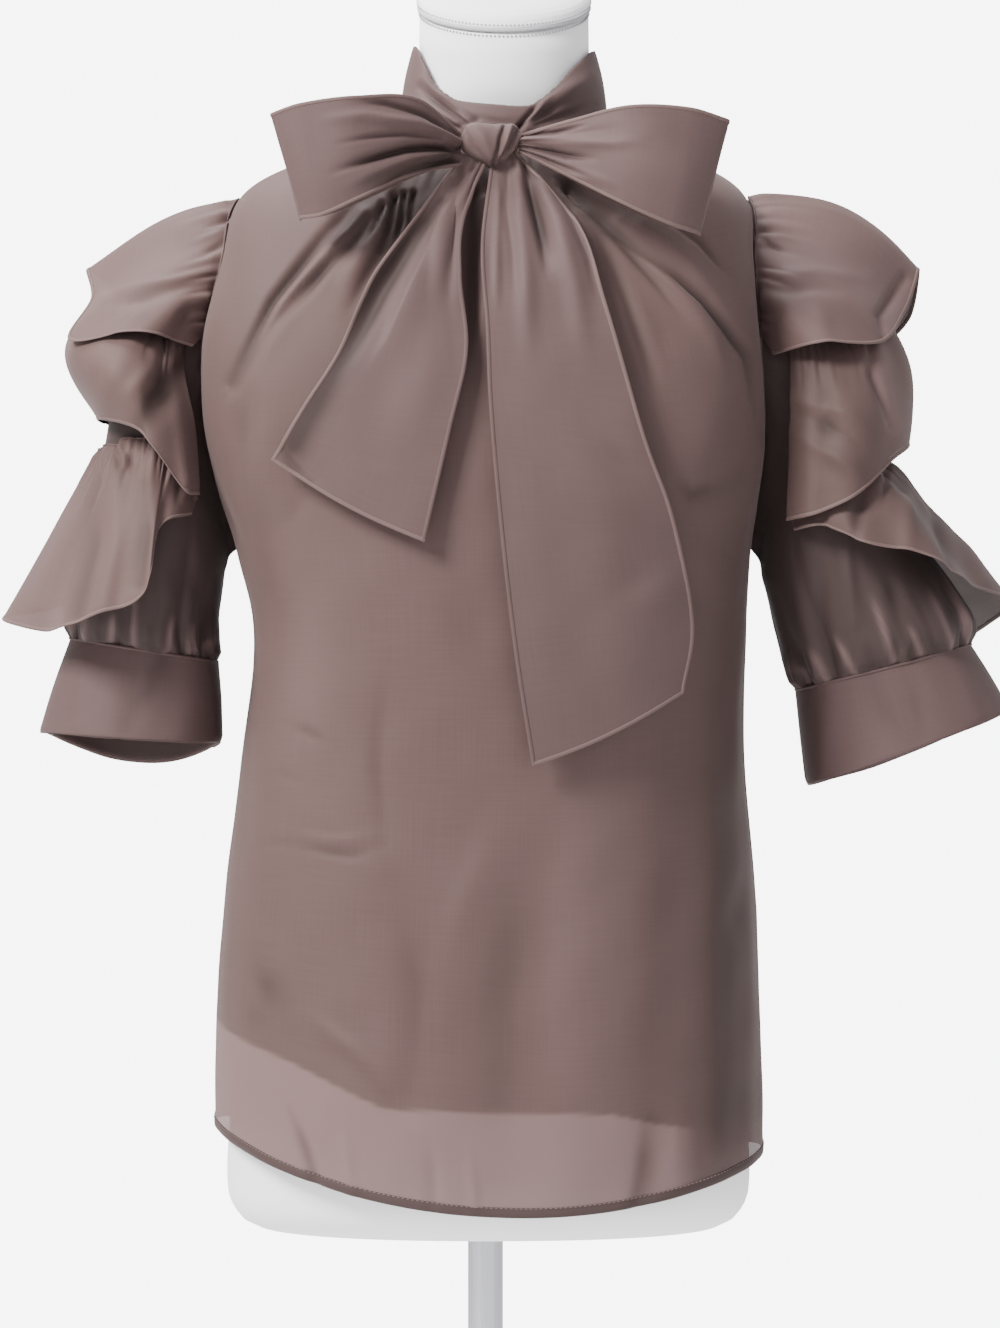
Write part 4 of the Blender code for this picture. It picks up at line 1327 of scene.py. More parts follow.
COLLAR_END = 179.4
COLLAR_SPOKES = (
    Spoke(-180, 1362, 60, 0), Spoke(-120, 1364, 60, 1), Spoke(-75, 1361, 58, 2),
    Spoke(-57, 1346, 59, 3), Spoke(-47, 1334, 60, 3), Spoke(-36, 1326, 62, 3),
    Spoke(-27, 1321, 63, 3), Spoke(0, 1317, 64, 3), Spoke(14, 1317, 64, 3),
    Spoke(22, 1322, 64, 3), Spoke(30, 1329, 63, 3), Spoke(40, 1338, 61, 3),
    Spoke(52, 1347, 59, 3), Spoke(75, 1358, 58, 2), Spoke(120, 1364, 60, 1),
    Spoke(180, 1362, 60, 0),
)
COLLAR_FOLDS = (
    Fold(((-45, 1332), (-32, 1320), (-16, 1306)), -3.4, 1.8, 0.3, 1.0, 1.6),
    Fold(((-43, 1338), (-28, 1323), (-14, 1308)), 2.4, 2.2, 0.3, 1.0),
    Fold(((-34, 1328), (-22, 1316), (-10, 1307)), -2.6, 1.5, 0.2, 1.0, 1.6),
    Fold(((-52, 1322), (-38, 1313), (-20, 1303)), -2.4, 1.8, 0.2, 0.9),
    Fold(((-54, 1330), (-38, 1318), (-20, 1306)), 2.0, 2.4, 0.2, 0.9),
    Fold(((-44, 1350), (-36, 1336), (-26, 1326)), 1.6, 3.0),
    Fold(((32, 1322), (26, 1312), (17, 1301)), -3.4, 1.8, 0.8, 1.0, 0.6),
    Fold(((36, 1322), (30, 1312), (22, 1303)), 2.6, 2.4, 0.5, 0.9),
    Fold(((47, 1320), (32, 1311), (20, 1303)), -3.0, 1.7, 0.2, 1.0, 1.6),
    Fold(((64, 1340), (48, 1327), (33, 1317)), 3.2, 5.0, 0.2, 0.6),
    Fold(((66, 1322), (50, 1313), (30, 1304)), -2.2, 2.2, 0.2, 0.9),
    Fold(((-8, 1309), (8, 1305), (16, 1306)), -1.2, 2.4, 0.5, 0.5),
)


@dataclass(frozen=True)
class Station:
    """Section of a bow loop at a reach from the knot."""

    reach: float
    top_z: float
    foot_z: float
    front_y: float
    back_y: float


LEFT_LOOP = (
    Station(17.3, 1295, 1275, -95, -87), Station(43, 1313, 1267, -118, -92),
    Station(79, 1312, 1251, -133, -97), Station(108, 1308, 1240, -131, -104),
    Station(124, 1303, 1239, -124, -112),
)
RIGHT_LOOP = (
    Station(18.2, 1294, 1283, -95, -87), Station(50, 1300, 1264, -120, -92),
    Station(82, 1306, 1247, -135, -96), Station(115, 1305, 1234, -134, -102),
    Station(137, 1299, 1229, -126, -112),
)
LOOP_END_SLANT = 9.0
LOOP_BACK_TUCK = 3.2
LEFT_LOOP_FOLDS = (
    Fold(((-17, 1289), (-45, 1297), (-76, 1300), (-108, 1297)), 3.4, 3.8, 0.9),
    Fold(((-18, 1285), (-50, 1280), (-81, 1270), (-101, 1263)), -5.6, 3.2, 1.0, 0.0, 0.6),
    Fold(((-20, 1283), (-49, 1275), (-72, 1265), (-92, 1254)), 3.0, 3.6, 0.9),
    Fold(((-22, 1279), (-37, 1272), (-55, 1262), (-76, 1250)), -4.6, 3.4, 1.0),
    Fold(((-19, 1293), (-40, 1303), (-62, 1308), (-90, 1309)), -3.4, 2.0, 0.9),
    Fold(((-30, 1291), (-52, 1290), (-72, 1287), (-98, 1281)), -2.4, 1.8, 0.8),
)
RIGHT_LOOP_FOLDS = (
    Fold(((20, 1293), (39, 1293), (62, 1296)), -3.0, 1.3, 1.0),
    Fold(((20, 1290), (46, 1286), (76, 1283), (100, 1284)), 2.6, 3.4, 0.9),
    Fold(((22, 1287), (46, 1278), (70, 1274)), -3.0, 1.8, 1.0, 0.0, 1.5),
    Fold(((19, 1296), (33, 1301), (56, 1304)), -2.2, 1.6, 1.0),
    Fold(((22, 1284), (44, 1271), (66, 1261)), -2.4, 1.8, 1.0),
    Fold(((24, 1283), (50, 1268), (84, 1255)), 2.0, 3.0, 0.6),
    Fold(((70, 1292), (98, 1290), (124, 1284)), 1.2, 9.0),
)
# Strokes of painted shade and painted light on the loops: painted shade in the pleats near the
# knot and on the shaded underside, painted light (below 0) along the lit top.
LEFT_LOOP_PAINTED_SHADING = (
    Fold(((-23, 1280), (-47, 1271), (-70, 1263), (-92, 1250)), 0.5, 7.0, 1.0, 0.2),
    Fold(((-30, 1275), (-50, 1262), (-66, 1252)), 0.35, 6.0, 1.0, 0.3),
    Fold(((-20, 1294), (-50, 1300), (-84, 1302)), -0.2, 5.0, 0.5, 0.3),
)
RIGHT_LOOP_PAINTED_SHADING = (
    Fold(((20, 1288), (34, 1282), (52, 1272)), 0.3, 3.0, 1.0, 0.1),
    Fold(((60, 1290), (90, 1280), (120, 1270)), -0.14, 16.0, 0.3, 0.4),
)


@dataclass(frozen=True)
class KnotRing:
    """Section of the knot, along it from left to right."""

    v: float
    x: float
    z: float
    half_z: float
    half_y: float


KNOT = (
    KnotRing(0.00, -18, 1289, 3, 4), KnotRing(0.14, -14, 1291, 9, 9),
    KnotRing(0.34, -4, 1288.5, 12.5, 11.5), KnotRing(0.50, 2.6, 1287, 13.5, 12),
    KnotRing(0.68, 9, 1289, 12, 11.5), KnotRing(0.86, 15.4, 1291.6, 8.6, 9),
    KnotRing(1.00, 20, 1292.6, 3, 4),
)
KNOT_Y = -91.2
KNOT_FLATNESS = 0.62
KNOT_FOLDS = (
    Fold(((9.5, 1300), (6.4, 1291), (5.5, 1284), (2.5, 1275)), -2.4, 1.2, 0.8, 0.7, 1.6),
    Fold(((13.4, 1298), (9.8, 1288), (6.9, 1281)), 2.2, 1.5, 0.8, 0.5),
    Fold(((17, 1296), (12.3, 1287), (6.7, 1277)), -2.2, 1.1, 0.8, 0.6, 1.5),
    Fold(((19, 1293), (16.5, 1287), (9.5, 1278)), 1.6, 1.5, 0.7, 0.4),
    Fold(((19, 1290), (15, 1283), (10, 1277)), -1.8, 0.9, 0.8, 0.4),
    Fold(((-16, 1297), (-10, 1285), (-1, 1276)), -1.3, 2.2, 0.6, 0.6),
    Fold(((-8, 1300), (-3, 1289), (1, 1278)), 1.2, 3.0, 0.5, 0.5),
)
# Strokes of painted shade in the knot's crevices and below it.
KNOT_PAINTED_SHADING = (
    Fold(((-18, 1286), (-9, 1278), (2, 1274)), 0.45, 2.6, 0.8, 1.0),
    Fold(((8, 1298), (5.4, 1288), (3, 1277)), 0.2, 2.0, 0.7, 1.0),
)


@dataclass(frozen=True)
class TailRow:
    """Both edges of a bow tail at a share of its length."""

    row: float
    left_x: float
    left_z: float
    right_x: float
    right_z: float
    lift: float


LEFT_TAIL = (
    TailRow(0.00, -18, 1283, -1, 1279, 6), TailRow(0.12, -42, 1246, -15, 1240, 7),
    TailRow(0.30, -71, 1204, -17, 1204, 7), TailRow(0.50, -92, 1157, -13, 1159, 7),
    TailRow(0.74, -113, 1124, -23, 1111, 7), TailRow(1.00, -132, 1092, -39, 1042, 8),
)
RIGHT_TAIL = (
    TailRow(0.00, 1, 1280, 17, 1284, 6), TailRow(0.12, -5, 1224, 54, 1238, 9),
    TailRow(0.26, -2, 1173, 71, 1186, 9), TailRow(0.42, 0, 1126, 93, 1108, 9),
    TailRow(0.62, 6, 1055, 111, 1058, 9), TailRow(0.82, 15, 977, 124, 995, 9),
    TailRow(1.00, 26, 907, 118, 951, 10),
)
TAIL_LIFT = 3.0
TAIL_KNOT_ROW = 0.14
LEFT_TAIL_FOLDS = (
    Fold(((-12, 1268), (-26, 1246), (-34, 1225), (-48, 1195), (-61, 1164), (-76, 1138)), 4.6,
         4.0, 0.8, 0.0, 3.2),
    Fold(((-30, 1252), (-47, 1228), (-66, 1196), (-82, 1164), (-101, 1131)), -4.6, 6.5, 0.6),
    Fold(((-26, 1266), (-48, 1238), (-70, 1204), (-90, 1164)), 2.4, 2.8, 0.9),
    Fold(((-126, 1098), (-119, 1088), (-108, 1078)), -2.4, 3.6, 0.6, 0.4),
    Fold(((-30, 1210), (-36, 1150), (-46, 1090)), 1.0, 11.0),
)
RIGHT_TAIL_FOLDS = (
    Fold(((22, 1276), (26, 1254), (32, 1226), (36, 1198)), -5.6, 3.0, 1.0, 0.0, 1.9),
    Fold(((13, 1274), (11, 1250), (15, 1220), (17, 1180)), -2.2, 3.4, 1.0, 0.0, 1.8),
    Fold(((17, 1276), (18, 1240), (22, 1200), (24, 1140)), 3.4, 6.0, 1.0),
    Fold(((27, 1274), (42, 1240), (52, 1198), (60, 1140)), 3.6, 7.0, 1.0),
    Fold(((29, 1274), (47, 1248), (60, 1216), (68, 1180)), -2.4, 2.6, 1.0),
    Fold(((50, 1120), (72, 1098), (98, 1074)), -1.2, 11.0),
    Fold(((20, 1120), (26, 1040), (34, 960)), 1.2, 14.0, 0.2, 0.6),
    Fold(((60, 1090), (72, 1020), (82, 960)), 1.4, 15.0, 0.2, 0.7),
)
# Strokes of painted shade and painted light on the tails: painted shade on the shaded side of
# the creases and by the knot, painted light (below 0) on lit turned edges and ridges.
LEFT_TAIL_PAINTED_SHADING = (
    Fold(((-44, 1238), (-56, 1221), (-70, 1196), (-85, 1164), (-103, 1131), (-118, 1102)),
         0.95, 9.0, 0.8, 1.0),
    Fold(((-22, 1268), (-46, 1238), (-70, 1206)), -0.35, 4.0, 0.9, 0.3),
    Fold(((-12, 1274), (-24, 1264)), 0.3, 5.0, 0.6, 0.3),
    Fold(((-50, 1190), (-56, 1140), (-64, 1090)), -0.14, 10.0, 0.3, 0.3),
)
RIGHT_TAIL_PAINTED_SHADING = (
    Fold(((24, 1274), (30, 1250), (36, 1220)), 0.35, 3.0, 1.0, 0.1),
    Fold(((4, 1274), (3, 1256)), 0.25, 5.0, 1.0, 0.1),
    Fold(((60, 1060), (84, 1062), (104, 1052)), 0.14, 14.0, 0.3, 0.3),
    Fold(((70, 1000), (92, 1014), (110, 1024)), -0.14, 7.0, 0.2, 0.4),
)


class Bow:
    """The stand collar with its tie: knot, two loops and two tails."""

    def __init__(self, atelier: Atelier, front: BVHTree) -> None:
        """Keep the maker and what the tails lie on.

        Args:
            atelier: makes the pieces.
            front: the front's surface.
        """
        self.atelier = atelier
        self.front = front

    @staticmethod
    def collar_point(angle: Array, v: Array) -> Array:
        """Points of the collar's outer layer.

        Args:
            angle: degrees from the front.
            v: 0 at the foot to 1 at the top.

        Returns:
            Points in mm.
        """
        at = columns_at(COLLAR_SPOKES, "angle", angle)
        ahead = np.abs(angle) <= 90.0
        from_middle = np.where(ahead, angle, np.copysign(180.0, angle) - angle) / 90.0
        none = np.zeros(len(angle))
        foot = np.where(ahead[:, None], bodice_point(FRONT_LEVELS, from_middle, none),
                        bodice_point(BACK_LEVELS, from_middle, none))
        foot[:, 2] += 0.4
        outward = level_way(angle)
        top = outward * at["top_reach"][:, None]
        top += stacked(np.full(len(angle), NECK_CENTRE_X), 0.0, at["top_z"])
        out = (at["bulge"] * np.sin(v * math.pi))[:, None]
        return mix(foot, top, v[:, None]) + outward * out

    def collar(self) -> None:
        """Make the collar, a band folded along its top edge."""
        def shape(u: Array, v: Array) -> Array:
            """Points of the smooth shape."""
            angle = mix(-COLLAR_END, COLLAR_END, u)
            up = 1.0 - np.abs(2.0 * v - 1.0)
            points = self.collar_point(angle, up)
            inside = 1.1 * smooth((v - 0.47) / 0.06)
            inside += 0.9 * clamp((v - 0.5) * 2.0)
            return points - level_way(angle) * inside[:, None]

        # The collar's inner layer gets painted shade.
        drape = Drape(shape, away_from(NECK_CENTRE_X, 0.0), COLLAR_FOLDS, (), (), 0.25, 6,
                      edge_ease=0.01, fold_ease=0.07, inner_tone=0.35)
        piece = self.atelier.cloth("collar_band", drape, 260, 56,
                                   Cut(0.40, 0.12, Held.FOLDED, 0.033), "collar",
                                   DENSE_ORGANZA.name)
        angle = np.linspace(-COLLAR_END, COLLAR_END, 200)
        foot = self.collar_point(angle, np.zeros(200)) + level_way(angle) * 0.4
        self.atelier.seam(piece, "neck_seam", foot, 0.8)

    def knot(self) -> None:
        """Make the knot, the tie wrapped once round itself."""
        def shape(u: Array, v: Array) -> Array:
            """Points of the smooth shape."""
            at = columns_at(KNOT, "v", v)
            c, s = np.cos(u * TURN), np.sin(u * TURN)
            flat = np.copysign(np.abs(c) ** KNOT_FLATNESS, c)
            return stacked(at["x"], KNOT_Y + at["half_y"] * flat,
                           at["z"] + at["half_z"] * s)

        def facing(u: Array, v: Array, points: Array) -> Array:
            """Outward directions."""
            return stacked(points[:, 0] * 0.3, points[:, 1] - KNOT_Y,
                           points[:, 2] - 1286.0)

        drape = Drape(shape, facing, KNOT_FOLDS, (), (), 0.2, 7, wrap=True, middle_y=KNOT_Y,
                      shades=KNOT_PAINTED_SHADING)
        self.atelier.cloth("bow_knot_wrap", drape, 96, 72,
                           Cut(0.06, 0.05, Held.FOLDED, 0.0019), "bow_knot",
                           DENSE_ORGANZA.name)

    def loop(self, name: str, stations: Sequence[Station], sign: float,
             folds: tuple[Fold, ...], shades: tuple[Fold, ...]) -> None:
        """Make a loop of the bow.

        Args:
            name: left or right.
            stations: its sections.
            sign: -1 for the left and 1 for the right.
            folds: its creases.
            shades: its strokes of painted shade and painted light.
        """
        def shape(u: Array, v: Array) -> Array:
            """Points of the smooth shape."""
            out = 1.0 - np.abs(2.0 * u - 1.0)
            along = np.sin(out * math.pi / 2.0)
            key = mix(stations[0].reach, stations[-1].reach, along)
            at = columns_at(stations, "reach", key)
            half = (at["front_y"] - at["back_y"]) / 2.0
            layer = np.where(u < 0.5, 1.0, -1.0)
            y = (at["front_y"] + at["back_y"]) / 2.0
            y = y + layer * half * np.sqrt(clamp(1.0 - out**6))
            slant = LOOP_END_SLANT * (1.0 - 2.0 * v) * along**2
            belly = -3.0 * np.sin(v * math.pi) * np.sin(out * math.pi)
            tucked = LOOP_BACK_TUCK * smooth((u - 0.5) / 0.12)
            return stacked(sign * (key + slant), y + belly,
                           mix(at["top_z"] - tucked, at["foot_z"] + tucked, v))

        both = folds + behind(folds, 4.0, -0.7)
        drape = Drape(shape, towards_front, both, (), (Gathers(5, 1.8, 0.45, 51),), 0.4,
                      13 if sign < 0.0 else 14, layered=True, shades=shades)
        piece = self.atelier.cloth(f"bow_loop_{name}_band", drape, 200, 80,
                                   Cut(0.26, 0.070, Held.FOLDED, 0.0165),
                                   f"bow_loop_{name}", DENSE_ORGANZA.name)
        for edge in (Edge.TOP, Edge.HEM):
            self.atelier.hem(piece, edge, 2.4, 0.8, 200)

    def tail(self, name: str, rows: Sequence[TailRow], folds: tuple[Fold, ...],
             shades: tuple[Fold, ...], cut: Cut) -> None:
        """Make a tail of the bow, which lies on the front.

        Args:
            name: left or right.
            rows: its edges.
            folds: its creases.
            shades: its strokes of painted shade and painted light.
            cut: its flat cloth.
        """
        def shape(u: Array, v: Array) -> Array:
            """Points of the smooth shape."""
            at = columns_at(rows, "row", v)
            x = mix(at["left_x"], at["right_x"], u)
            z = mix(at["left_z"], at["right_z"], u) - 4.0 * np.sin(u * math.pi) * v**3
            depth = np.array([self.depth_at(a, b) for a, b in zip(x, z)])
            at_knot = clamp(1.0 - v / TAIL_KNOT_ROW)
            y = mix(depth - at["lift"] - TAIL_LIFT, KNOT_Y - 1.0, at_knot**2)
            return stacked(x, y, z)

        drape = Drape(Remembered(shape), towards_front, folds, (Gathers(3, 1.2, 0.22, 17),),
                      (), 0.5, 15 if name == "left" else 16, shades=shades)
        piece = self.atelier.cloth(f"bow_tail_{name}_band", drape, 110, 190, cut,
                                   f"bow_tail_{name}", DENSE_ORGANZA.name)
        # The lit edge and the hem get the lighter narrow-hem finish, a painted highlight; the
        # other edges stay dense.
        lit = Edge.START if name == "left" else Edge.END
        for edge in (Edge.START, Edge.END, Edge.HEM):
            finish = DENSE_ORGANZA if edge not in (lit, Edge.HEM) else HIGHLIT_EDGE_ORGANZA
            self.atelier.hem(piece, edge, 2.6, 0.9, 120, finish.name)

    def depth_at(self, x: float, z: float) -> float:
        """The front's y at a place in front view, smoothed over its small gathers.

        Args:
            x: place across in mm.
            z: height in mm.

        Returns:
            The y in mm.
        """
        nearest = 0.0
        for dx, dz in ((0.0, 0.0), (7.0, 4.0), (-7.0, -4.0), (5.0, -6.0), (-5.0, 6.0)):
            start = Vector(((x + dx + GARMENT_SHIFT_X) * MM, -1.0, (z + dz) * MM))
            hit = self.front.ray_cast(start, Vector((0.0, 1.0, 0.0)))[0]
            if hit is not None:
                nearest = min(nearest, hit.y / MM)
        return nearest

    def build(self) -> None:
        """Make the collar and the whole bow."""
        self.collar()
        self.knot()
        self.loop("left", LEFT_LOOP, -1.0, LEFT_LOOP_FOLDS, LEFT_LOOP_PAINTED_SHADING)
        self.loop("right", RIGHT_LOOP, 1.0, RIGHT_LOOP_FOLDS, RIGHT_LOOP_PAINTED_SHADING)
        self.tail("left", LEFT_TAIL, LEFT_TAIL_FOLDS, LEFT_TAIL_PAINTED_SHADING,
                  Cut(0.10, 0.22, Held.HUNG, 0.017, ("front_panel",)))
        self.tail("right", RIGHT_TAIL, RIGHT_TAIL_FOLDS, RIGHT_TAIL_PAINTED_SHADING,
                  Cut(0.11, 0.36, Held.HUNG, 0.035, ("front_panel",)))


class Remembered:
    """A slow surface sampled once on a fine grid and read smoothly from it."""

    COLUMNS = 60
    ROWS = 110

    def __init__(self, surface: Surface) -> None:
        """Sample the surface.

        Args:
            surface: the slow surface.
        """
        u, v = np.meshgrid(np.linspace(0.0, 1.0, self.COLUMNS + 1),
                           np.linspace(0.0, 1.0, self.ROWS + 1))
        points = surface(u.ravel(), v.ravel())
        table = points.reshape(self.ROWS + 1, self.COLUMNS + 1, 3)
        for _ in range(5):
            padded = np.pad(table[:, :, 1], 1, mode="edge")
            near = (padded[:-2, 1:-1] + padded[2:, 1:-1] + padded[1:-1, :-2]
                    + padded[1:-1, 2:]) / 4.0
            table[:, :, 1] = (table[:, :, 1] + near) / 2.0
        self.table = table

    def __call__(self, u: Array, v: Array) -> Array:
        """Read the surface.

        Args:
            u: places across.
            v: places down.

        Returns:
            Points in mm.
        """
        a = clamp(u) * self.COLUMNS
        b = clamp(v) * self.ROWS
        i = np.minimum(a.astype(int), self.COLUMNS - 1)
        j = np.minimum(b.astype(int), self.ROWS - 1)
        s = (a - i)[:, None]
        t = (b - j)[:, None]
        t_ = self.table
        return mix(mix(t_[j, i], t_[j, i + 1], s), mix(t_[j + 1, i], t_[j + 1, i + 1], s),
                   t)


# Sleeves, cuffs and ruffles


@dataclass(frozen=True)
class Ring:
    """Section of a sleeve: its outer and inner line and half its depth."""

    t: float
    outer_x: float
    outer_z: float
    inner_x: float
    inner_z: float
    half_depth: float
    back_drop: float = 0.0


@dataclass(frozen=True)
class Rib:
    """A ruffle at an angle round the sleeve: its seam and its free hem."""

    angle: float
    top_t: float
    hem_x: float
    hem_y: float
    hem_z: float
    bulge: float


@dataclass(frozen=True)
class TierMake:
    """What a ruffle has alike on both sleeves."""

    number: int
    waves: int
    wave_height: float
    gathers: int
    middle_x: float
    rise: float
    cut: Cut


@dataclass(frozen=True)
class Tier:
    """One ruffle: its make, its ribs, its creases and its strokes of painted shade and painted
    light.
    """

    make: TierMake
    ribs: tuple[Rib, ...]
    folds: tuple[Fold, ...]
    shades: tuple[Fold, ...]


@dataclass(frozen=True)
class SleeveSpec:
    """Everything that shapes one sleeve."""

    name: str
    side: float
    rings: tuple[Ring, ...]
    cuff: tuple[Ring, ...]
    puff_folds: tuple[Fold, ...]
    cuff_folds: tuple[Fold, ...]
    cuff_shades: tuple[Fold, ...]
    tiers: tuple[Tier, ...]


RUFFLE_LIFT = 1.9
ARMHOLE_GAP = 0.6
SEAM_EASE_ANGLE = 8.0
TIER_MAKES = (
    TierMake(1, 3, 1.6, 20, 175.0, 60.0, Cut(0.34, 0.095, Held.GATHERED, 0.027)),
    TierMake(2, 5, 2.2, 24, 195.0, 10.0, Cut(0.40, 0.10, Held.GATHERED, 0.034)),
    TierMake(3, 6, 3.4, 36, 215.0, 10.0, Cut(0.48, 0.10, Held.GATHERED, 0.038)),
)
LEFT_TIER_1 = (
    Rib(84, 0.004, -186, -56, 1167, 1), Rib(66, 0.004, -216, -78, 1174, 7),
    Rib(46, 0.004, -264, -58, 1172, 9), Rib(24, 0.004, -252, -24, 1200, 7),
    Rib(0, 0.004, -258, 4, 1222, 8), Rib(-24, 0.004, -242, 40, 1206, 8),
    Rib(-46, 0.004, -232, 74, 1184, 9), Rib(-66, 0.004, -212, 80, 1174, 7),
    Rib(-84, 0.004, -186, 56, 1166, 1),
)
LEFT_TIER_2 = (
    Rib(76, 0.09, -181, -64, 1074, 6), Rib(68, 0.16, -190, -84, 1077, 12),
    Rib(56, 0.22, -213, -88, 1109, 19), Rib(34, 0.26, -240, -62, 1121, 30),
    Rib(0, 0.28, -246, 0, 1123, 34), Rib(-34, 0.26, -240, 64, 1118, 30),
    Rib(-56, 0.22, -214, 88, 1104, 20), Rib(-68, 0.16, -194, 84, 1082, 12),
    Rib(-76, 0.09, -183, 64, 1076, 6),
)
LEFT_TIER_3 = (
    Rib(125, 0.30, -186, -60, 1062, 0), Rib(102, 0.32, -204, -82, 1053, 2),
    Rib(86, 0.37, -212, -98, 1012, 3), Rib(66, 0.46, -242, -92, 999, 3),
    Rib(36, 0.55, -278, -64, 989, 2), Rib(0, 0.58, -309, 0, 998, 0),
    Rib(-36, 0.55, -286, 62, 1004, 2), Rib(-66, 0.46, -246, 92, 1010, 3),
    Rib(-92, 0.35, -210, 84, 1036, 3), Rib(-125, 0.30, -186, 60, 1062, 0),
)
RIGHT_TIER_1 = (
    Rib(84, 0.004, 177, -56, 1162, 1), Rib(66, 0.004, 206, -80, 1167, 8),
    Rib(46, 0.004, 245, -62, 1170, 14), Rib(24, 0.004, 262, -26, 1190, 18),
    Rib(0, 0.004, 276, 6, 1222, 19), Rib(-24, 0.004, 274, 42, 1194, 16),
    Rib(-46, 0.004, 250, 74, 1174, 12), Rib(-66, 0.004, 212, 80, 1168, 8),
    Rib(-84, 0.004, 177, 56, 1162, 1),
)
RIGHT_TIER_2 = (
    Rib(76, 0.09, 185, -64, 1058, 6), Rib(68, 0.16, 204, -84, 1062, 12),
    Rib(56, 0.22, 226, -86, 1073, 15), Rib(34, 0.26, 254, -60, 1097, 16),
    Rib(0, 0.28, 266, 0, 1108, 18), Rib(-34, 0.26, 256, 62, 1099, 16),
    Rib(-56, 0.22, 228, 86, 1080, 15), Rib(-68, 0.16, 206, 84, 1066, 12),
    Rib(-76, 0.09, 187, 64, 1060, 6),
)
RIGHT_TIER_3 = (
    Rib(125, 0.30, 190, -60, 1052, 0), Rib(104, 0.32, 208, -80, 1054, 2),
    Rib(88, 0.37, 232, -92, 1043, 3), Rib(66, 0.46, 268, -90, 1036, 4),
    Rib(36, 0.57, 304, -62, 1018, 3), Rib(0, 0.60, 332, 0, 1006, 2),
    Rib(-36, 0.57, 316, 62, 988, 3), Rib(-66, 0.46, 272, 92, 992, 4),
    Rib(-92, 0.35, 226, 84, 1024, 3), Rib(-125, 0.30, 192, 60, 1050, 0),
)
LEFT_FOLDS = (
    (Fold(((-244, 1199), (-224, 1204), (-201, 1207), (-166, 1215)), 2.4, 4.0, 0.5, 0.3),
     Fold(((-240, 1192), (-220, 1196), (-198, 1199)), -1.6, 3.5),
     Fold(((-158, 1256), (-172, 1248), (-186, 1243)), -2.4, 2.0, 1.0),
     Fold(((-159, 1250), (-176, 1240), (-196, 1232)), 1.6, 2.6, 0.8),
     Fold(((-162, 1240), (-180, 1226), (-196, 1220)), -1.4, 2.4, 0.8),
     Fold(((-212, 1196), (-222, 1184), (-230, 1174)), 1.6, 6.0, 0.2, 0.6),
     Fold(((-184, 1200), (-190, 1184), (-196, 1172)), -1.8, 5.0, 0.2, 0.6)),
    (Fold(((-188, 1168), (-201, 1138), (-218, 1112)), -4.4, 9.0, 0.7, 0.5),
     Fold(((-224, 1166), (-236, 1134), (-244, 1122)), 2.6, 9.0, 0.5, 0.4),
     Fold(((-177, 1160), (-184, 1120), (-185, 1082)), 2.8, 6.0, 0.4, 0.7),
     Fold(((-206, 1160), (-218, 1140), (-232, 1122)), 1.4, 5.0)),
    (Fold(((-234, 1108), (-231, 1098), (-229, 1086)), -2.6, 2.0, 1.0),
     Fold(((-228, 1107), (-225, 1096), (-222, 1084)), -2.2, 1.8, 1.0),
     Fold(((-241, 1106), (-241, 1092), (-243, 1078)), 1.8, 2.4, 0.9),
     Fold(((-257, 1083), (-268, 1045), (-282, 1006)), 3.0, 10.0, 0.3, 0.9),
     Fold(((-242, 1083), (-247, 1040), (-256, 1000)), -3.2, 8.0, 0.3, 0.9),
     Fold(((-229, 1083), (-231, 1044), (-237, 1004)), 2.6, 7.0, 0.4, 0.8),
     Fold(((-214, 1076), (-213, 1050), (-216, 1018)), -2.4, 5.0, 0.4, 0.8)),
)
RIGHT_FOLDS = (
    (Fold(((264, 1215), (254, 1201), (244, 1187), (246, 1172)), -2.4, 3.4, 0.6, 0.6),
     Fold(((160, 1254), (172, 1243), (184, 1238)), -2.2, 2.0, 1.0),
     Fold(((162, 1246), (176, 1234), (192, 1226)), -1.6, 2.0, 1.0),
     Fold(((161, 1250), (178, 1240), (196, 1236)), 1.4, 2.4, 0.8),
     Fold(((166, 1210), (205, 1214), (238, 1212)), 1.8, 5.0, 0.4, 0.2),
     Fold(((170, 1200), (204, 1203), (232, 1200)), -1.4, 4.0, 0.4),
     Fold(((200, 1196), (206, 1182), (210, 1168)), 1.6, 6.0, 0.2, 0.6)),
    (Fold(((237, 1168), (238, 1148), (243, 1135), (250, 1118)), -3.0, 3.4, 0.7, 0.6),
     Fold(((183, 1135), (223, 1123), (243, 1108)), 1.8, 5.0, 0.4, 0.2),
     Fold(((186, 1114), (223, 1090), (236, 1078)), 1.8, 5.0, 0.4, 0.2),
     Fold(((190, 1126), (222, 1108), (240, 1094)), -1.4, 4.0, 0.2, 0.2),
     Fold(((200, 1160), (206, 1130), (204, 1090)), -2.0, 8.0, 0.4, 0.4)),
    (Fold(((264, 1089), (260, 1066), (258, 1040)), 2.4, 6.0, 0.4, 0.8),
     Fold(((279, 1077), (282, 1050), (288, 1024)), -2.6, 5.0, 0.4, 0.9),
     Fold(((236, 1089), (229, 1066), (223, 1045)), -2.4, 5.0, 0.4, 0.8),
     Fold(((211, 1070), (212, 1060), (212, 1050)), 1.8, 4.0, 0.3, 0.7),
     Fold(((250, 1094), (246, 1080), (243, 1064)), -1.6, 2.2, 1.0),
     Fold(((298, 1060), (304, 1044), (312, 1022)), 2.0, 6.0, 0.3, 0.9)),
)
# Number of painted light and painted shade strokes round the pleats above the cuff.
PAINTED_PLEAT_STROKES = 34
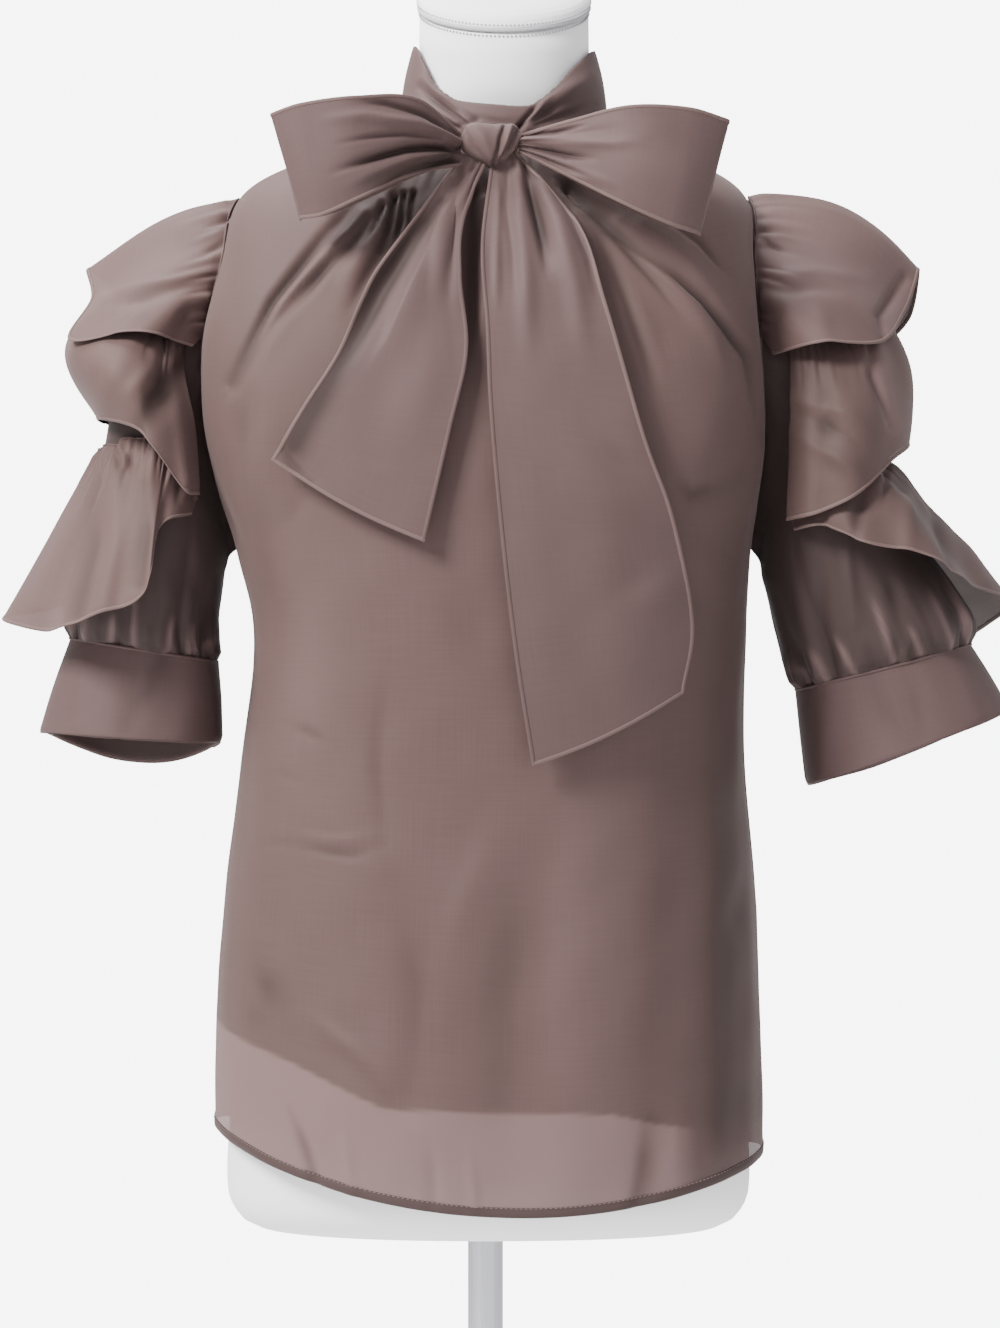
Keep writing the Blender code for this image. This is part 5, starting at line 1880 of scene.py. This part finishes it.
# Strokes of painted shade and painted light on each ruffle, one tuple a tier: painted shade in
# creases and on shaded parts, painted light (below 0) on lit parts and where a single sheer
# layer lets light through.
LEFT_TIER_PAINTED_SHADING = (
    (Fold(((-238, 1196), (-214, 1200), (-186, 1203)), 0.18, 4.0, 0.2, 0.3),
     Fold(((-168, 1246), (-186, 1240), (-206, 1230)), 0.2, 5.0, 0.8, 0.1)),
    (Fold(((-190, 1166), (-203, 1138), (-219, 1112)), 0.38, 9.0, 0.8, 0.6),
     Fold(((-180, 1168), (-186, 1130), (-188, 1090)), 0.2, 5.0, 0.8, 0.4)),
    (Fold(((-246, 1100), (-250, 1060), (-258, 1016)), 0.26, 8.0, 0.5, 0.3),
     Fold(((-234, 1108), (-230, 1090), (-226, 1070)), 0.3, 4.0, 1.0, 0.2),
     Fold(((-212, 1080), (-212, 1050), (-216, 1018)), 0.3, 7.0, 0.8, 0.5)),
)
RIGHT_TIER_PAINTED_SHADING = (
    (Fold(((266, 1208), (256, 1192), (250, 1178)), -0.6, 6.0, 0.6, 0.8),
     Fold(((170, 1220), (200, 1214), (232, 1206)), -0.7, 20.0, 0.8, 0.5),
     Fold(((168, 1250), (184, 1240), (202, 1230)), 0.2, 5.0, 0.9, 0.1),
     Fold(((176, 1196), (206, 1190), (236, 1186)), 0.18, 9.0, 0.3, 0.3)),
    (Fold(((246, 1166), (246, 1146), (252, 1118)), -0.6, 6.5, 0.8, 0.8),
     Fold(((210, 1170), (208, 1130), (204, 1080)), 0.34, 30.0, 1.0, 1.0),
     Fold(((190, 1164), (192, 1130), (194, 1084)), 0.24, 7.0, 0.9, 0.3),
     Fold(((206, 1110), (222, 1092), (238, 1080)), 0.16, 9.0, 0.3, 0.3)),
    (Fold(((258, 1090), (264, 1070), (276, 1046)), 0.22, 8.0, 0.8, 0.3),
     Fold(((210, 1064), (250, 1060), (296, 1030)), 0.26, 30.0, 1.0, 1.0),
     Fold(((228, 1078), (224, 1064), (220, 1050)), 0.22, 6.0, 0.8, 0.3)),
)


def tiers(ribs: Sequence[tuple[Rib, ...]], folds: Sequence[tuple[Fold, ...]],
          shades: Sequence[tuple[Fold, ...]]) -> tuple[Tier, ...]:
    """The three ruffles of a sleeve.

    Args:
        ribs: each ruffle's ribs.
        folds: its creases in front.
        shades: its strokes of painted shade and painted light.

    Returns:
        The ruffles, with creases behind like those in front.
    """
    return tuple(Tier(make, ribs[i], folds[i] + behind(folds[i], 5.0, 0.9), shades[i])
                 for i, make in enumerate(TIER_MAKES))


LEFT_SLEEVE = SleeveSpec(
    "left", -1.0,
    (Ring(0.00, -158, 1266, -161, 1042, 44), Ring(0.12, -196, 1250, -166, 1038, 50),
     Ring(0.28, -228, 1206, -168, 1032, 56), Ring(0.48, -240, 1140, -171, 1020, 58),
     Ring(0.70, -256, 1062, -174, 1004, 58), Ring(0.88, -270, 1006, -175, 983, 56),
     Ring(1.00, -268, 986, -175, 971, 48)),
    (Ring(0.0, -268.5, 985.3, -174.7, 970.3, 48.5),
     Ring(0.5, -279, 955, -173, 944, 53, 8), Ring(1.0, -288, 925, -172, 918, 57, 18)),
    (Fold(((-205, 1050), (-203, 1010), (-210, 978)), 2.0, 6.0, 0.2, 0.8),
     Fold(((-222, 1040), (-226, 1004), (-232, 980)), -2.4, 5.0, 0.2, 0.9),
     Fold(((-188, 1040), (-184, 1006), (-188, 974)), -2.0, 4.0, 0.2, 0.9),
     Fold(((-244, 1024), (-250, 1000), (-256, 984)), 1.6, 4.0, 0.2, 0.9)),
    (Fold(((-178, 973), (-174, 945), (-172, 920)), 1.8, 5.0, 0.6, 0.8),
     Fold(((-252, 980), (-256, 950), (-262, 926)), 1.2, 9.0, 0.5, 0.7),
     Fold(((-222, 978), (-224, 946), (-226, 922)), -1.2, 8.0, 0.5, 0.5)),
    # Cuff strokes: a painted shade crease, painted light beside it and painted shade along the
    # right.
    (Fold(((-205, 972), (-214, 952), (-228, 932)), 0.36, 6.0, 0.9, 0.3),
     Fold(((-192, 970), (-192, 946), (-198, 926)), -0.3, 9.0, 0.6, 0.8),
     Fold(((-177, 966), (-171, 922)), 0.3, 4.0, 0.8, 0.8)),
    tiers((LEFT_TIER_1, LEFT_TIER_2, LEFT_TIER_3), LEFT_FOLDS, LEFT_TIER_PAINTED_SHADING),
)
RIGHT_SLEEVE = SleeveSpec(
    "right", 1.0,
    (Ring(0.00, 163, 1266, 166, 1042, 44), Ring(0.12, 202, 1252, 172, 1034, 50),
     Ring(0.28, 232, 1206, 174, 1024, 56), Ring(0.48, 241, 1140, 178, 1008, 58),
     Ring(0.70, 266, 1062, 184, 988, 60), Ring(0.88, 306, 1003, 190, 966, 58),
     Ring(1.00, 307, 982, 196, 953, 50)),
    (Ring(0.0, 307.5, 981.3, 195.7, 952.3, 50.5), Ring(0.5, 321, 960, 199, 921, 55, 4),
     Ring(1.0, 333, 940, 203, 891, 59, 9)),
    (Fold(((222, 1049), (225, 1020), (228, 994)), 2.6, 3.6, 0.6, 0.6),
     Fold(((208, 1040), (207, 1004), (212, 968)), -2.2, 5.0, 0.3, 0.9),
     Fold(((250, 1036), (254, 1004), (258, 980)), -2.2, 5.0, 0.2, 0.9),
     Fold(((276, 1026), (280, 1000), (284, 984)), 1.8, 5.0, 0.2, 0.9)),
    (Fold(((214, 955), (212, 925), (210, 898)), 1.4, 6.0, 0.6, 0.8),
     Fold(((262, 970), (268, 940), (272, 916)), -1.2, 8.0, 0.5, 0.5),
     Fold(((292, 978), (302, 950), (310, 926)), 1.2, 8.0, 0.5, 0.6)),
    # Cuff strokes: painted shade along a crease.
    (Fold(((238, 962), (247, 940), (258, 920)), 0.22, 7.0, 0.8, 0.3),),
    tiers((RIGHT_TIER_1, RIGHT_TIER_2, RIGHT_TIER_3), RIGHT_FOLDS, RIGHT_TIER_PAINTED_SHADING),
)


def ring_point(rings: Sequence[Ring], t: Array, angle: Array) -> Array:
    """Points of a plain ring of a sleeve or cuff.

    Args:
        rings: the sections.
        t: place along the sleeve.
        angle: degrees: 180 inner, 90 front, 0 outer, -90 back.

    Returns:
        Points in mm.
    """
    at = columns_at(rings, "t", t)
    turn = np.radians(angle)
    share = (1.0 + np.cos(turn)) / 2.0
    x = mix(at["inner_x"], at["outer_x"], share)
    z = mix(at["inner_z"], at["outer_z"], share)
    z = z - at["back_drop"] * clamp(-np.sin(turn)) ** 2
    return stacked(x, -at["half_depth"] * np.sin(turn), z)


def ring_centre(rings: Sequence[Ring], t: Array) -> Array:
    """Middle points of rings.

    Args:
        rings: the sections.
        t: place along the sleeve.

    Returns:
        Points in mm.
    """
    none = np.zeros(len(t))
    return (ring_point(rings, t, none) + ring_point(rings, t, none + 180.0)) / 2.0


def armhole_point(side: float, angle: Array) -> Array:
    """Edge of the armhole.

    Args:
        side: -1 for the left and 1 for the right.
        angle: 0 at the shoulder, 180 at the armpit, front positive.

    Returns:
        Points in mm.
    """
    row = mix(SHOULDER_ROW, ARMPIT_ROW, np.abs(angle) / 180.0)
    column = "left_x" if side < 0.0 else "right_x"
    front, back = (columns_at(table, "row", row) for table in (FRONT_LEVELS, BACK_LEVELS))
    x, y, z = (np.where(angle >= 0.0, front[name], back[name])
               for name in (column, "side_y", "side_z"))
    from_seam = np.minimum(np.abs(angle), 180.0 - np.abs(angle))
    return stacked(x + side * ARMHOLE_GAP, y * clamp(from_seam / SEAM_EASE_ANGLE), z)


class Sleeve:
    """A puffed sleeve with its cuff and three ruffles."""

    def __init__(self, atelier: Atelier, spec: SleeveSpec) -> None:
        """Keep the maker and the sizes.

        Args:
            atelier: makes the pieces.
            spec: the sleeve's sizes.
        """
        self.atelier = atelier
        self.spec = spec

    def puff_point(self, t: Array, angle: Array) -> Array:
        """Points of the puffed sleeve.

        Args:
            t: 0 at the armhole to 1 at the cuff seam.
            angle: degrees round the sleeve.

        Returns:
            Points in mm.
        """
        rings = self.spec.rings
        none = np.zeros(len(t))
        to_armhole = armhole_point(self.spec.side, angle) - ring_point(rings, none, angle)
        return ring_point(rings, t, angle) + to_armhole * ((1.0 - t) ** 5)[:, None]

    def puff_facing(self, u: Array, v: Array, points: Array) -> Array:
        """Outward directions of the puff.

        Args:
            u: places round it, not used.
            v: places down it.
            points: points in mm.

        Returns:
            Directions.
        """
        away = points - ring_centre(self.spec.rings, np.maximum(v, 0.3))
        away[:, 2] += 12.0
        return away

    def pleat_strokes(self) -> tuple[Fold, ...]:
        """Painted highlights on the ridges and painted shade in the troughs of the small pleats
        above the cuff.

        Returns:
            Strokes of painted light and painted shade, all round the sleeve.
        """
        pick = np.random.default_rng(60)
        strokes = []
        for i in range(PAINTED_PLEAT_STROKES):
            angle = -180.0 + 360.0 * (i + pick.uniform(0.2, 0.8)) / PAINTED_PLEAT_STROKES
            rise = pick.uniform(0.10, 0.24)
            foot, top = self.puff_point(np.array([0.98, 0.98 - rise]),
                                        np.array([angle, angle + pick.uniform(-5.0, 5.0)]))
            strokes.append(Fold(((foot[0], foot[2]), (top[0], top[2])),
                                -0.6 if i % 2 else 0.5, 2.3, 1.0, 0.0, 1.0,
                                Side.FRONT if foot[1] < 0.0 else Side.BACK))
        return tuple(strokes)

    def puff(self) -> None:
        """Make the sleeve, gathered at the armhole and into the cuff."""
        drape = Drape(lambda u, v: self.puff_point(v, mix(180.0, -180.0, u)),
                      self.puff_facing, self.spec.puff_folds
                      + behind(self.spec.puff_folds, 4.0, 1.0),
                      (Gathers(34, 3.0, 0.3, 21, from_hem=True, wrap=True),
                       Gathers(13, 4.4, 0.8, 24, from_hem=True, wrap=True),
                       Gathers(18, 1.2, 0.2, 22, wrap=True)), (), 0.5, 18, wrap=True,
                      shades=self.pleat_strokes())
        name = self.spec.name
        piece = self.atelier.cloth(f"sleeve_{name}_puff", drape, 160, 100,
                                   Cut(0.44, 0.25, Held.GATHERED, 0.080,
                                       (f"back_{name}_panel",)), f"sleeve_{name}",
                                   SHADED_SLEEVE_ORGANZA.name)
        edge = armhole_point(self.spec.side, np.linspace(-180.0, 180.0, 150))
        self.atelier.seam(piece, f"armhole_seam_{name}", edge, 1.1)

    def cuff(self) -> None:
        """Make the cuff, a wide band folded along its lower edge."""
        rings = self.spec.cuff

        def shape(u: Array, v: Array) -> Array:
            """Points of the smooth shape."""
            angle = mix(180.0, -180.0, u)
            down = 1.0 - np.abs(2.0 * v - 1.0)
            points = ring_point(rings, down, angle)
            inward = unit(ring_centre(rings, down) - points)
            inside = 1.0 * smooth((v - 0.48) / 0.04) + 0.3 * clamp((v - 0.5) * 2.0)
            return points + inward * inside[:, None]

        def facing(u: Array, v: Array, points: Array) -> Array:
            """Outward directions."""
            return points - ring_centre(rings, 1.0 - np.abs(2.0 * v - 1.0))

        name = self.spec.name
        # The cuff's inner layer gets painted shade, and strokes of painted shade and painted
        # light lie on it.
        drape = Drape(shape, facing, self.spec.cuff_folds
                      + behind(self.spec.cuff_folds, 3.0, 1.0), (), (), 0.4, 23, wrap=True,
                      fold_ease=0.05, inner_tone=0.6, shades=self.spec.cuff_shades)
        piece = self.atelier.cloth(f"cuff_{name}_band", drape, 150, 64,
                                   Cut(0.37, 0.11, Held.FOLDED, 0.040,
                                       (f"sleeve_{name}_puff",)), f"cuff_{name}",
                                   DENSE_ORGANZA.name)
        edge = ring_point(rings, np.zeros(150), np.linspace(-180.0, 180.0, 150))
        self.atelier.seam(piece, f"cuff_seam_{name}", edge, 1.0)

    def ruffle(self, tier: Tier) -> None:
        """Make a ruffle.

        Args:
            tier: its sizes.
        """
        spec, make = self.spec, tier.make
        places = [i / (len(tier.ribs) - 1) for i in range(len(tier.ribs))]

        def shape(u: Array, v: Array) -> Array:
            """Points of the smooth shape."""
            at = columns_at(tier.ribs, places, u)
            t, angle = at["top_t"], at["angle"]
            on_sleeve = self.puff_point(t, angle)
            along = self.puff_point(t + 0.02, angle) - on_sleeve
            around = self.puff_point(t, angle + 4.0) - self.puff_point(t, angle - 4.0)
            centre = ring_centre(spec.rings, t)
            normal = unit(np.cross(along, around))
            turned = np.sum(normal * (on_sleeve - centre), axis=1) < 0.0
            normal = np.where(turned[:, None], -normal, normal)
            top = on_sleeve + normal * RUFFLE_LIFT
            foot = stacked(at["hem_x"], at["hem_y"], at["hem_z"])
            middle = (foot + top) / 2.0 - centre
            rise = np.abs(middle[:, 2]) * 0.5 + 10.0 if make.number == 1 else 0.0
            away = unit(stacked(middle[:, 0], middle[:, 1], rise))
            wave = make.wave_height * np.sin(u * make.waves * TURN) * v**1.3
            wave = wave * clamp(np.minimum(u, 1.0 - u) * 12.0)
            out = at["bulge"] * np.sin(v**0.8 * math.pi) + wave
            return mix(top, foot, v[:, None]) + away * out[:, None]

        seed = 40 + make.number + (5 if spec.side > 0.0 else 0)
        drape = Drape(shape, away_from(spec.side * make.middle_x, make.rise), tier.folds,
                      (Gathers(make.gathers, 2.2, 0.45, seed),
                       Gathers(make.gathers // 3, 3.0, 1.1, seed)),
                      (), 0.5, seed, shades=tier.shades)
        name = f"ruffle_{make.number}_{spec.name}"
        cut = replace(make.cut, rests_on=(f"sleeve_{spec.name}_puff",))
        piece = self.atelier.cloth(name + "_tier", drape, 240, 64, cut, name,
                                   RUFFLE_ORGANZA.name)
        self.atelier.hem(piece, Edge.HEM, 2.6, 0.9, 220)
        top_edge = drape.points(np.linspace(0.0, 1.0, 200), np.zeros(200))
        self.atelier.seam(piece, name + "_seam", top_edge, 0.8)

    def build(self) -> None:
        """Make the whole sleeve."""
        self.puff()
        self.cuff()
        for tier in self.spec.tiers:
            self.ruffle(tier)


# Dress form and stand


@dataclass(frozen=True)
class FormLevel:
    """A level section of the torso."""

    z: float
    centre_x: float
    half_width: float
    front: float
    back: float
    power: float


FORM_LEVELS = (
    FormLevel(612, -1, 148, 84, 92, 2.3), FormLevel(618, -1, 158, 97, 104, 2.4),
    FormLevel(634, -1, 166, 108, 114, 2.4), FormLevel(680, -1, 165, 112, 118, 2.4),
    FormLevel(760, -1, 160, 106, 112, 2.4), FormLevel(850, 1, 142, 90, 92, 2.3),
    FormLevel(915, 3, 128, 84, 84, 2.3), FormLevel(990, 4, 134, 100, 90, 2.4),
    FormLevel(1050, 4, 141, 118, 94, 2.5), FormLevel(1105, 3, 146, 121, 95, 2.5),
    FormLevel(1165, 2, 146, 112, 94, 2.5), FormLevel(1215, 2, 149, 99, 89, 2.4),
    FormLevel(1240, 3, 149, 88, 82, 2.3), FormLevel(1262, 4, 143, 76, 74, 2.2),
    FormLevel(1280, 5, 124, 64, 66, 2.0), FormLevel(1296, 6.6, 99.2, 48, 56, 1.8),
    FormLevel(1308, 8, 77.2, 46, 53, 1.9), FormLevel(1317, 9, 64.9, 49, 53, 2.0),
    FormLevel(1332, 9, 55.5, 54, 54, 2.0), FormLevel(1345, 9, 54, 54, 54, 2.0),
)
CAP_TILT = math.radians(24.0)
CAP_FOOT_Z = 1389.0
NECK_LEAN_FROM = 1332.0
NECK_LEAN_TO = 1345.0
NECK_LEAN_RISE = 44.0
SIDE_SEAM_PLACE = -24.0 / 360.0
TOP_SHARE = 0.03
FOOT_SHARE = 0.05


class DressForm:
    """The white torso with its neck cap, seams and the steel stand."""

    def __init__(self, atelier: Atelier) -> None:
        """Keep the maker.

        Args:
            atelier: makes the pieces.
        """
        self.atelier = atelier

    @staticmethod
    def torso_point(u: Array, v: Array) -> Array:
        """Points of the torso's side wall.

        Args:
            u: place round it.
            v: 0 at the neck to 1 at the bottom.

        Returns:
            Points in mm.
        """
        z = mix(FORM_LEVELS[-1].z, FORM_LEVELS[0].z, v)
        at = columns_at(FORM_LEVELS, "z", z)
        turn = u * TURN
        c, s = np.cos(turn), np.sin(turn)
        bend = 2.0 / at["power"]
        x = at["centre_x"] + at["half_width"] * np.copysign(np.abs(c) ** bend, c)
        depth = np.where(s > 0.0, at["back"], at["front"])
        y = depth * np.copysign(np.abs(s) ** bend, s)
        lean = clamp((z - NECK_LEAN_FROM) / (NECK_LEAN_TO - NECK_LEAN_FROM))
        return stacked(x, y, z + lean * (NECK_LEAN_RISE + y * math.tan(CAP_TILT)))

    def rounded_ends(self, u: Array, v: Array) -> Array:
        """Points of the torso with its closed ends.

        Args:
            u: place round it.
            v: 0 in the middle of the top to 1 in the middle of the bottom.

        Returns:
            Points in mm.
        """
        points = self.torso_point(u, clamp((v - TOP_SHARE) / (1.0 - TOP_SHARE - FOOT_SHARE)))
        top = clamp((TOP_SHARE - v) / TOP_SHARE)
        foot = clamp((v - 1.0 + FOOT_SHARE) / FOOT_SHARE)
        middle = stacked(np.where(v < 0.5, NECK_CENTRE_X, -1.0), 0.0,
                         np.where(v < 0.5, CAP_FOOT_Z, FORM_LEVELS[0].z))
        inward = np.maximum(top, foot)[:, None]
        return mix(points, middle, inward)

    @staticmethod
    def cap_point(lift: Array, radius: Array, turn: Array) -> Array:
        """Points on tilted rings round the neck.

        Args:
            lift: heights above the neck's end in mm.
            radius: the rings' radii in mm.
            turn: angles round them in radians.

        Returns:
            Points in mm.
        """
        y = radius * np.sin(turn)
        return stacked(NECK_CENTRE_X + radius * np.cos(turn), y,
                       CAP_FOOT_Z + lift + y * math.tan(CAP_TILT))

    def build(self) -> None:
        """Make the form and give the stand its finish."""
        make = self.atelier
        bm = make.grid(self.rounded_ends, 96, 160, (1.0, 0.78), merge=True,
                       facing=from_body_axis)
        bmesh.ops.remove_doubles(bm, verts=bm.verts, dist=0.0001)
        make.place("dress_form", bm, "white_cotton_jersey", "jersey", ("form_torso",))
        profile = ((0.4, 54.0), (2.0, 55.2), (3.5, 55.5), (6.5, 55.0), (9.0, 53.5),
                   (11.5, 50.2), (13.5, 45.0), (15.4, 35.0), (16.5, 25.0), (17.2, 12.0),
                   (17.4, 0.05))

        def cap(u: Array, v: Array) -> Array:
            """Points of the cap."""
            step = v * (len(profile) - 1)
            lift = np.interp(step, range(len(profile)), [p[0] for p in profile])
            radius = np.interp(step, range(len(profile)), [p[1] for p in profile])
            return self.cap_point(lift, radius, u * TURN)

        bm = make.grid(cap, 128, 40, (0.34, 0.06), merge=True, facing=from_body_axis)
        make.place("neck_cap", bm, "white_cotton_jersey", "jersey", ("form_neck_cap",))
        turn = np.linspace(0.0, TURN, 160)
        for name, lift, radius in (("lower", -3.6, 54.2), ("upper", 3.6, 55.4)):
            make.stitches(f"neck_stitches_{name}", self.cap_point(lift, radius, turn), 2.6,
                          0.75, FORM_THREAD.name)
        make.tube("neck_seam_cord", self.cap_point(0.0, 54.3, turn), 1.4,
                  finish=FORM_THREAD.name)
        rows = np.linspace(0.04, 0.12, 60)
        seam = self.torso_point(np.full(60, SIDE_SEAM_PLACE), rows * 0.9)
        zigzag = seam + stacked(np.where(np.arange(60) % 2, 0.8, -0.8), 0.0, 0.0)
        zigzag += unit(seam - stacked(NECK_CENTRE_X, 0.0, seam[:, 2])) * 0.3
        make.tube("neck_side_seam", zigzag, 0.45, 6, FORM_THREAD.name)
        for node in ("form_pole", "form_base"):
            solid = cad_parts[node]
            solid.data.materials.clear()
            solid.data.materials.append(make.materials[STEEL.name])

    def button(self) -> None:
        """Make the covered button behind the neck and its thread loop."""
        make = self.atelier
        centre = Bow.collar_point(np.array([180.0]), np.array([0.5]))[0]
        centre = np.array([NECK_CENTRE_X, centre[1] + 2.6, centre[2]])

        def dome(u: Array, v: Array) -> Array:
            """Points of the button."""
            turn = u * TURN
            lean = (v - 0.5) * math.pi
            return centre + stacked(5.0 * np.cos(lean) * np.cos(turn),
                                    1.9 * np.sin(lean),
                                    5.0 * np.cos(lean) * np.sin(turn))

        bm = make.grid(dome, 40, 24, (0.03, 0.015), merge=True,
                       facing=lambda u, v, p: p - centre)
        make.place("covered_neck_button", bm, BUTTON.name, "button", ("neck_button",))
        turn = np.linspace(0.0, TURN, 60)
        loop = centre + stacked(5.6 * np.cos(turn) - 1.0, -0.4, 5.4 * np.sin(turn))
        make.tube("button_loop", loop, 0.5)


# Studio


class Studio:
    """Floor, lights and the camera at the photo's angle."""

    TARGET = (0.0093, 0.0, 0.9686)
    DISTANCE = 2.4
    MM_PER_PIXEL = 0.64
    PIXELS_HIGH = 1328
    SOFT_LIGHT = 1.0
    BACKDROP = 9.0

    def build(self, atelier: Atelier) -> None:
        """Make the studio.

        Args:
            atelier: has the floor's finish.
        """
        bm = bmesh.new()
        bmesh.ops.create_grid(bm, x_segments=1, y_segments=1, size=3.0)
        mesh = bpy.data.meshes.new("floor")
        bm.to_mesh(mesh)
        bm.free()
        mesh.materials.append(atelier.materials[FLOOR.name])
        show("floor", mesh)
        self.light("key", (-1.9, -1.7, 2.9), 1.0, 258.0, "#fffdfa")
        self.light("fill", (1.6, -2.4, 1.3), 1.8, 12.0, "#f6f8ff")
        self.light("top", (-0.6, 0.3, 3.1), 1.2, 76.0, "#ffffff")
        self.world()
        self.camera()

    def light(self, name: str, place: tuple[float, float, float], size: float,
              power: float, colour: str) -> None:
        """Add a soft light that faces the blouse.

        Args:
            name: its name.
            place: where it stands, in metres.
            size: its side in metres.
            power: its power in watts.
            colour: its colour.
        """
        data = bpy.data.lights.new(name, "AREA")
        data.size = size
        data.energy = power
        data.color = linear(colour)[:3]
        lamp = show(name, data)
        lamp.location = place
        way = Vector(self.TARGET) - Vector(place)
        lamp.rotation_euler = way.to_track_quat("-Z", "Y").to_euler()

    def world(self) -> None:
        """Light from all round, with a white backdrop behind the form."""
        world = bpy.data.worlds.new("studio")
        world.use_nodes = True
        tree = world.node_tree
        lit = tree.nodes["Background"]
        lit.inputs["Color"].default_value = (1.0, 1.0, 1.0, 1.0)
        lit.inputs["Strength"].default_value = self.SOFT_LIGHT
        seen = tree.nodes.new("ShaderNodeBackground")
        seen.name = seen.label = "white paper backdrop"
        seen.inputs["Strength"].default_value = self.BACKDROP
        path = tree.nodes.new("ShaderNodeLightPath")
        chosen = tree.nodes.new("ShaderNodeMixShader")
        tree.links.new(path.outputs["Is Camera Ray"], chosen.inputs[0])
        tree.links.new(lit.outputs[0], chosen.inputs[1])
        tree.links.new(seen.outputs[0], chosen.inputs[2])
        tree.links.new(chosen.outputs[0], tree.nodes["World Output"].inputs["Surface"])
        bpy.context.scene.world = world

    def camera(self) -> None:
        """Place the camera level with the chest, as in the photo."""
        data = bpy.data.cameras.new("camera")
        data.sensor_fit = "VERTICAL"
        data.sensor_height = 36.0
        data.lens = 36.0 * self.DISTANCE / (self.PIXELS_HIGH * self.MM_PER_PIXEL * MM)
        camera = show("camera", data)
        camera.location = Vector(self.TARGET) - Vector((0.0, self.DISTANCE, 0.0))
        camera.rotation_euler = (math.radians(90.0), 0.0, 0.0)
        bpy.context.scene.camera = camera


def main() -> None:
    """Build the dressed blouse in its studio."""
    logging.basicConfig(level=logging.INFO, format="%(message)s")
    atelier = Atelier()
    studio = Studio()
    studio.build(atelier)
    form = DressForm(atelier)
    form.build()
    front = Bodice(atelier).build()
    Bow(atelier, front).build()
    form.button()
    for spec in (LEFT_SLEEVE, RIGHT_SLEEVE):
        Sleeve(atelier, spec).build()


if __name__ == "__main__":
    main()
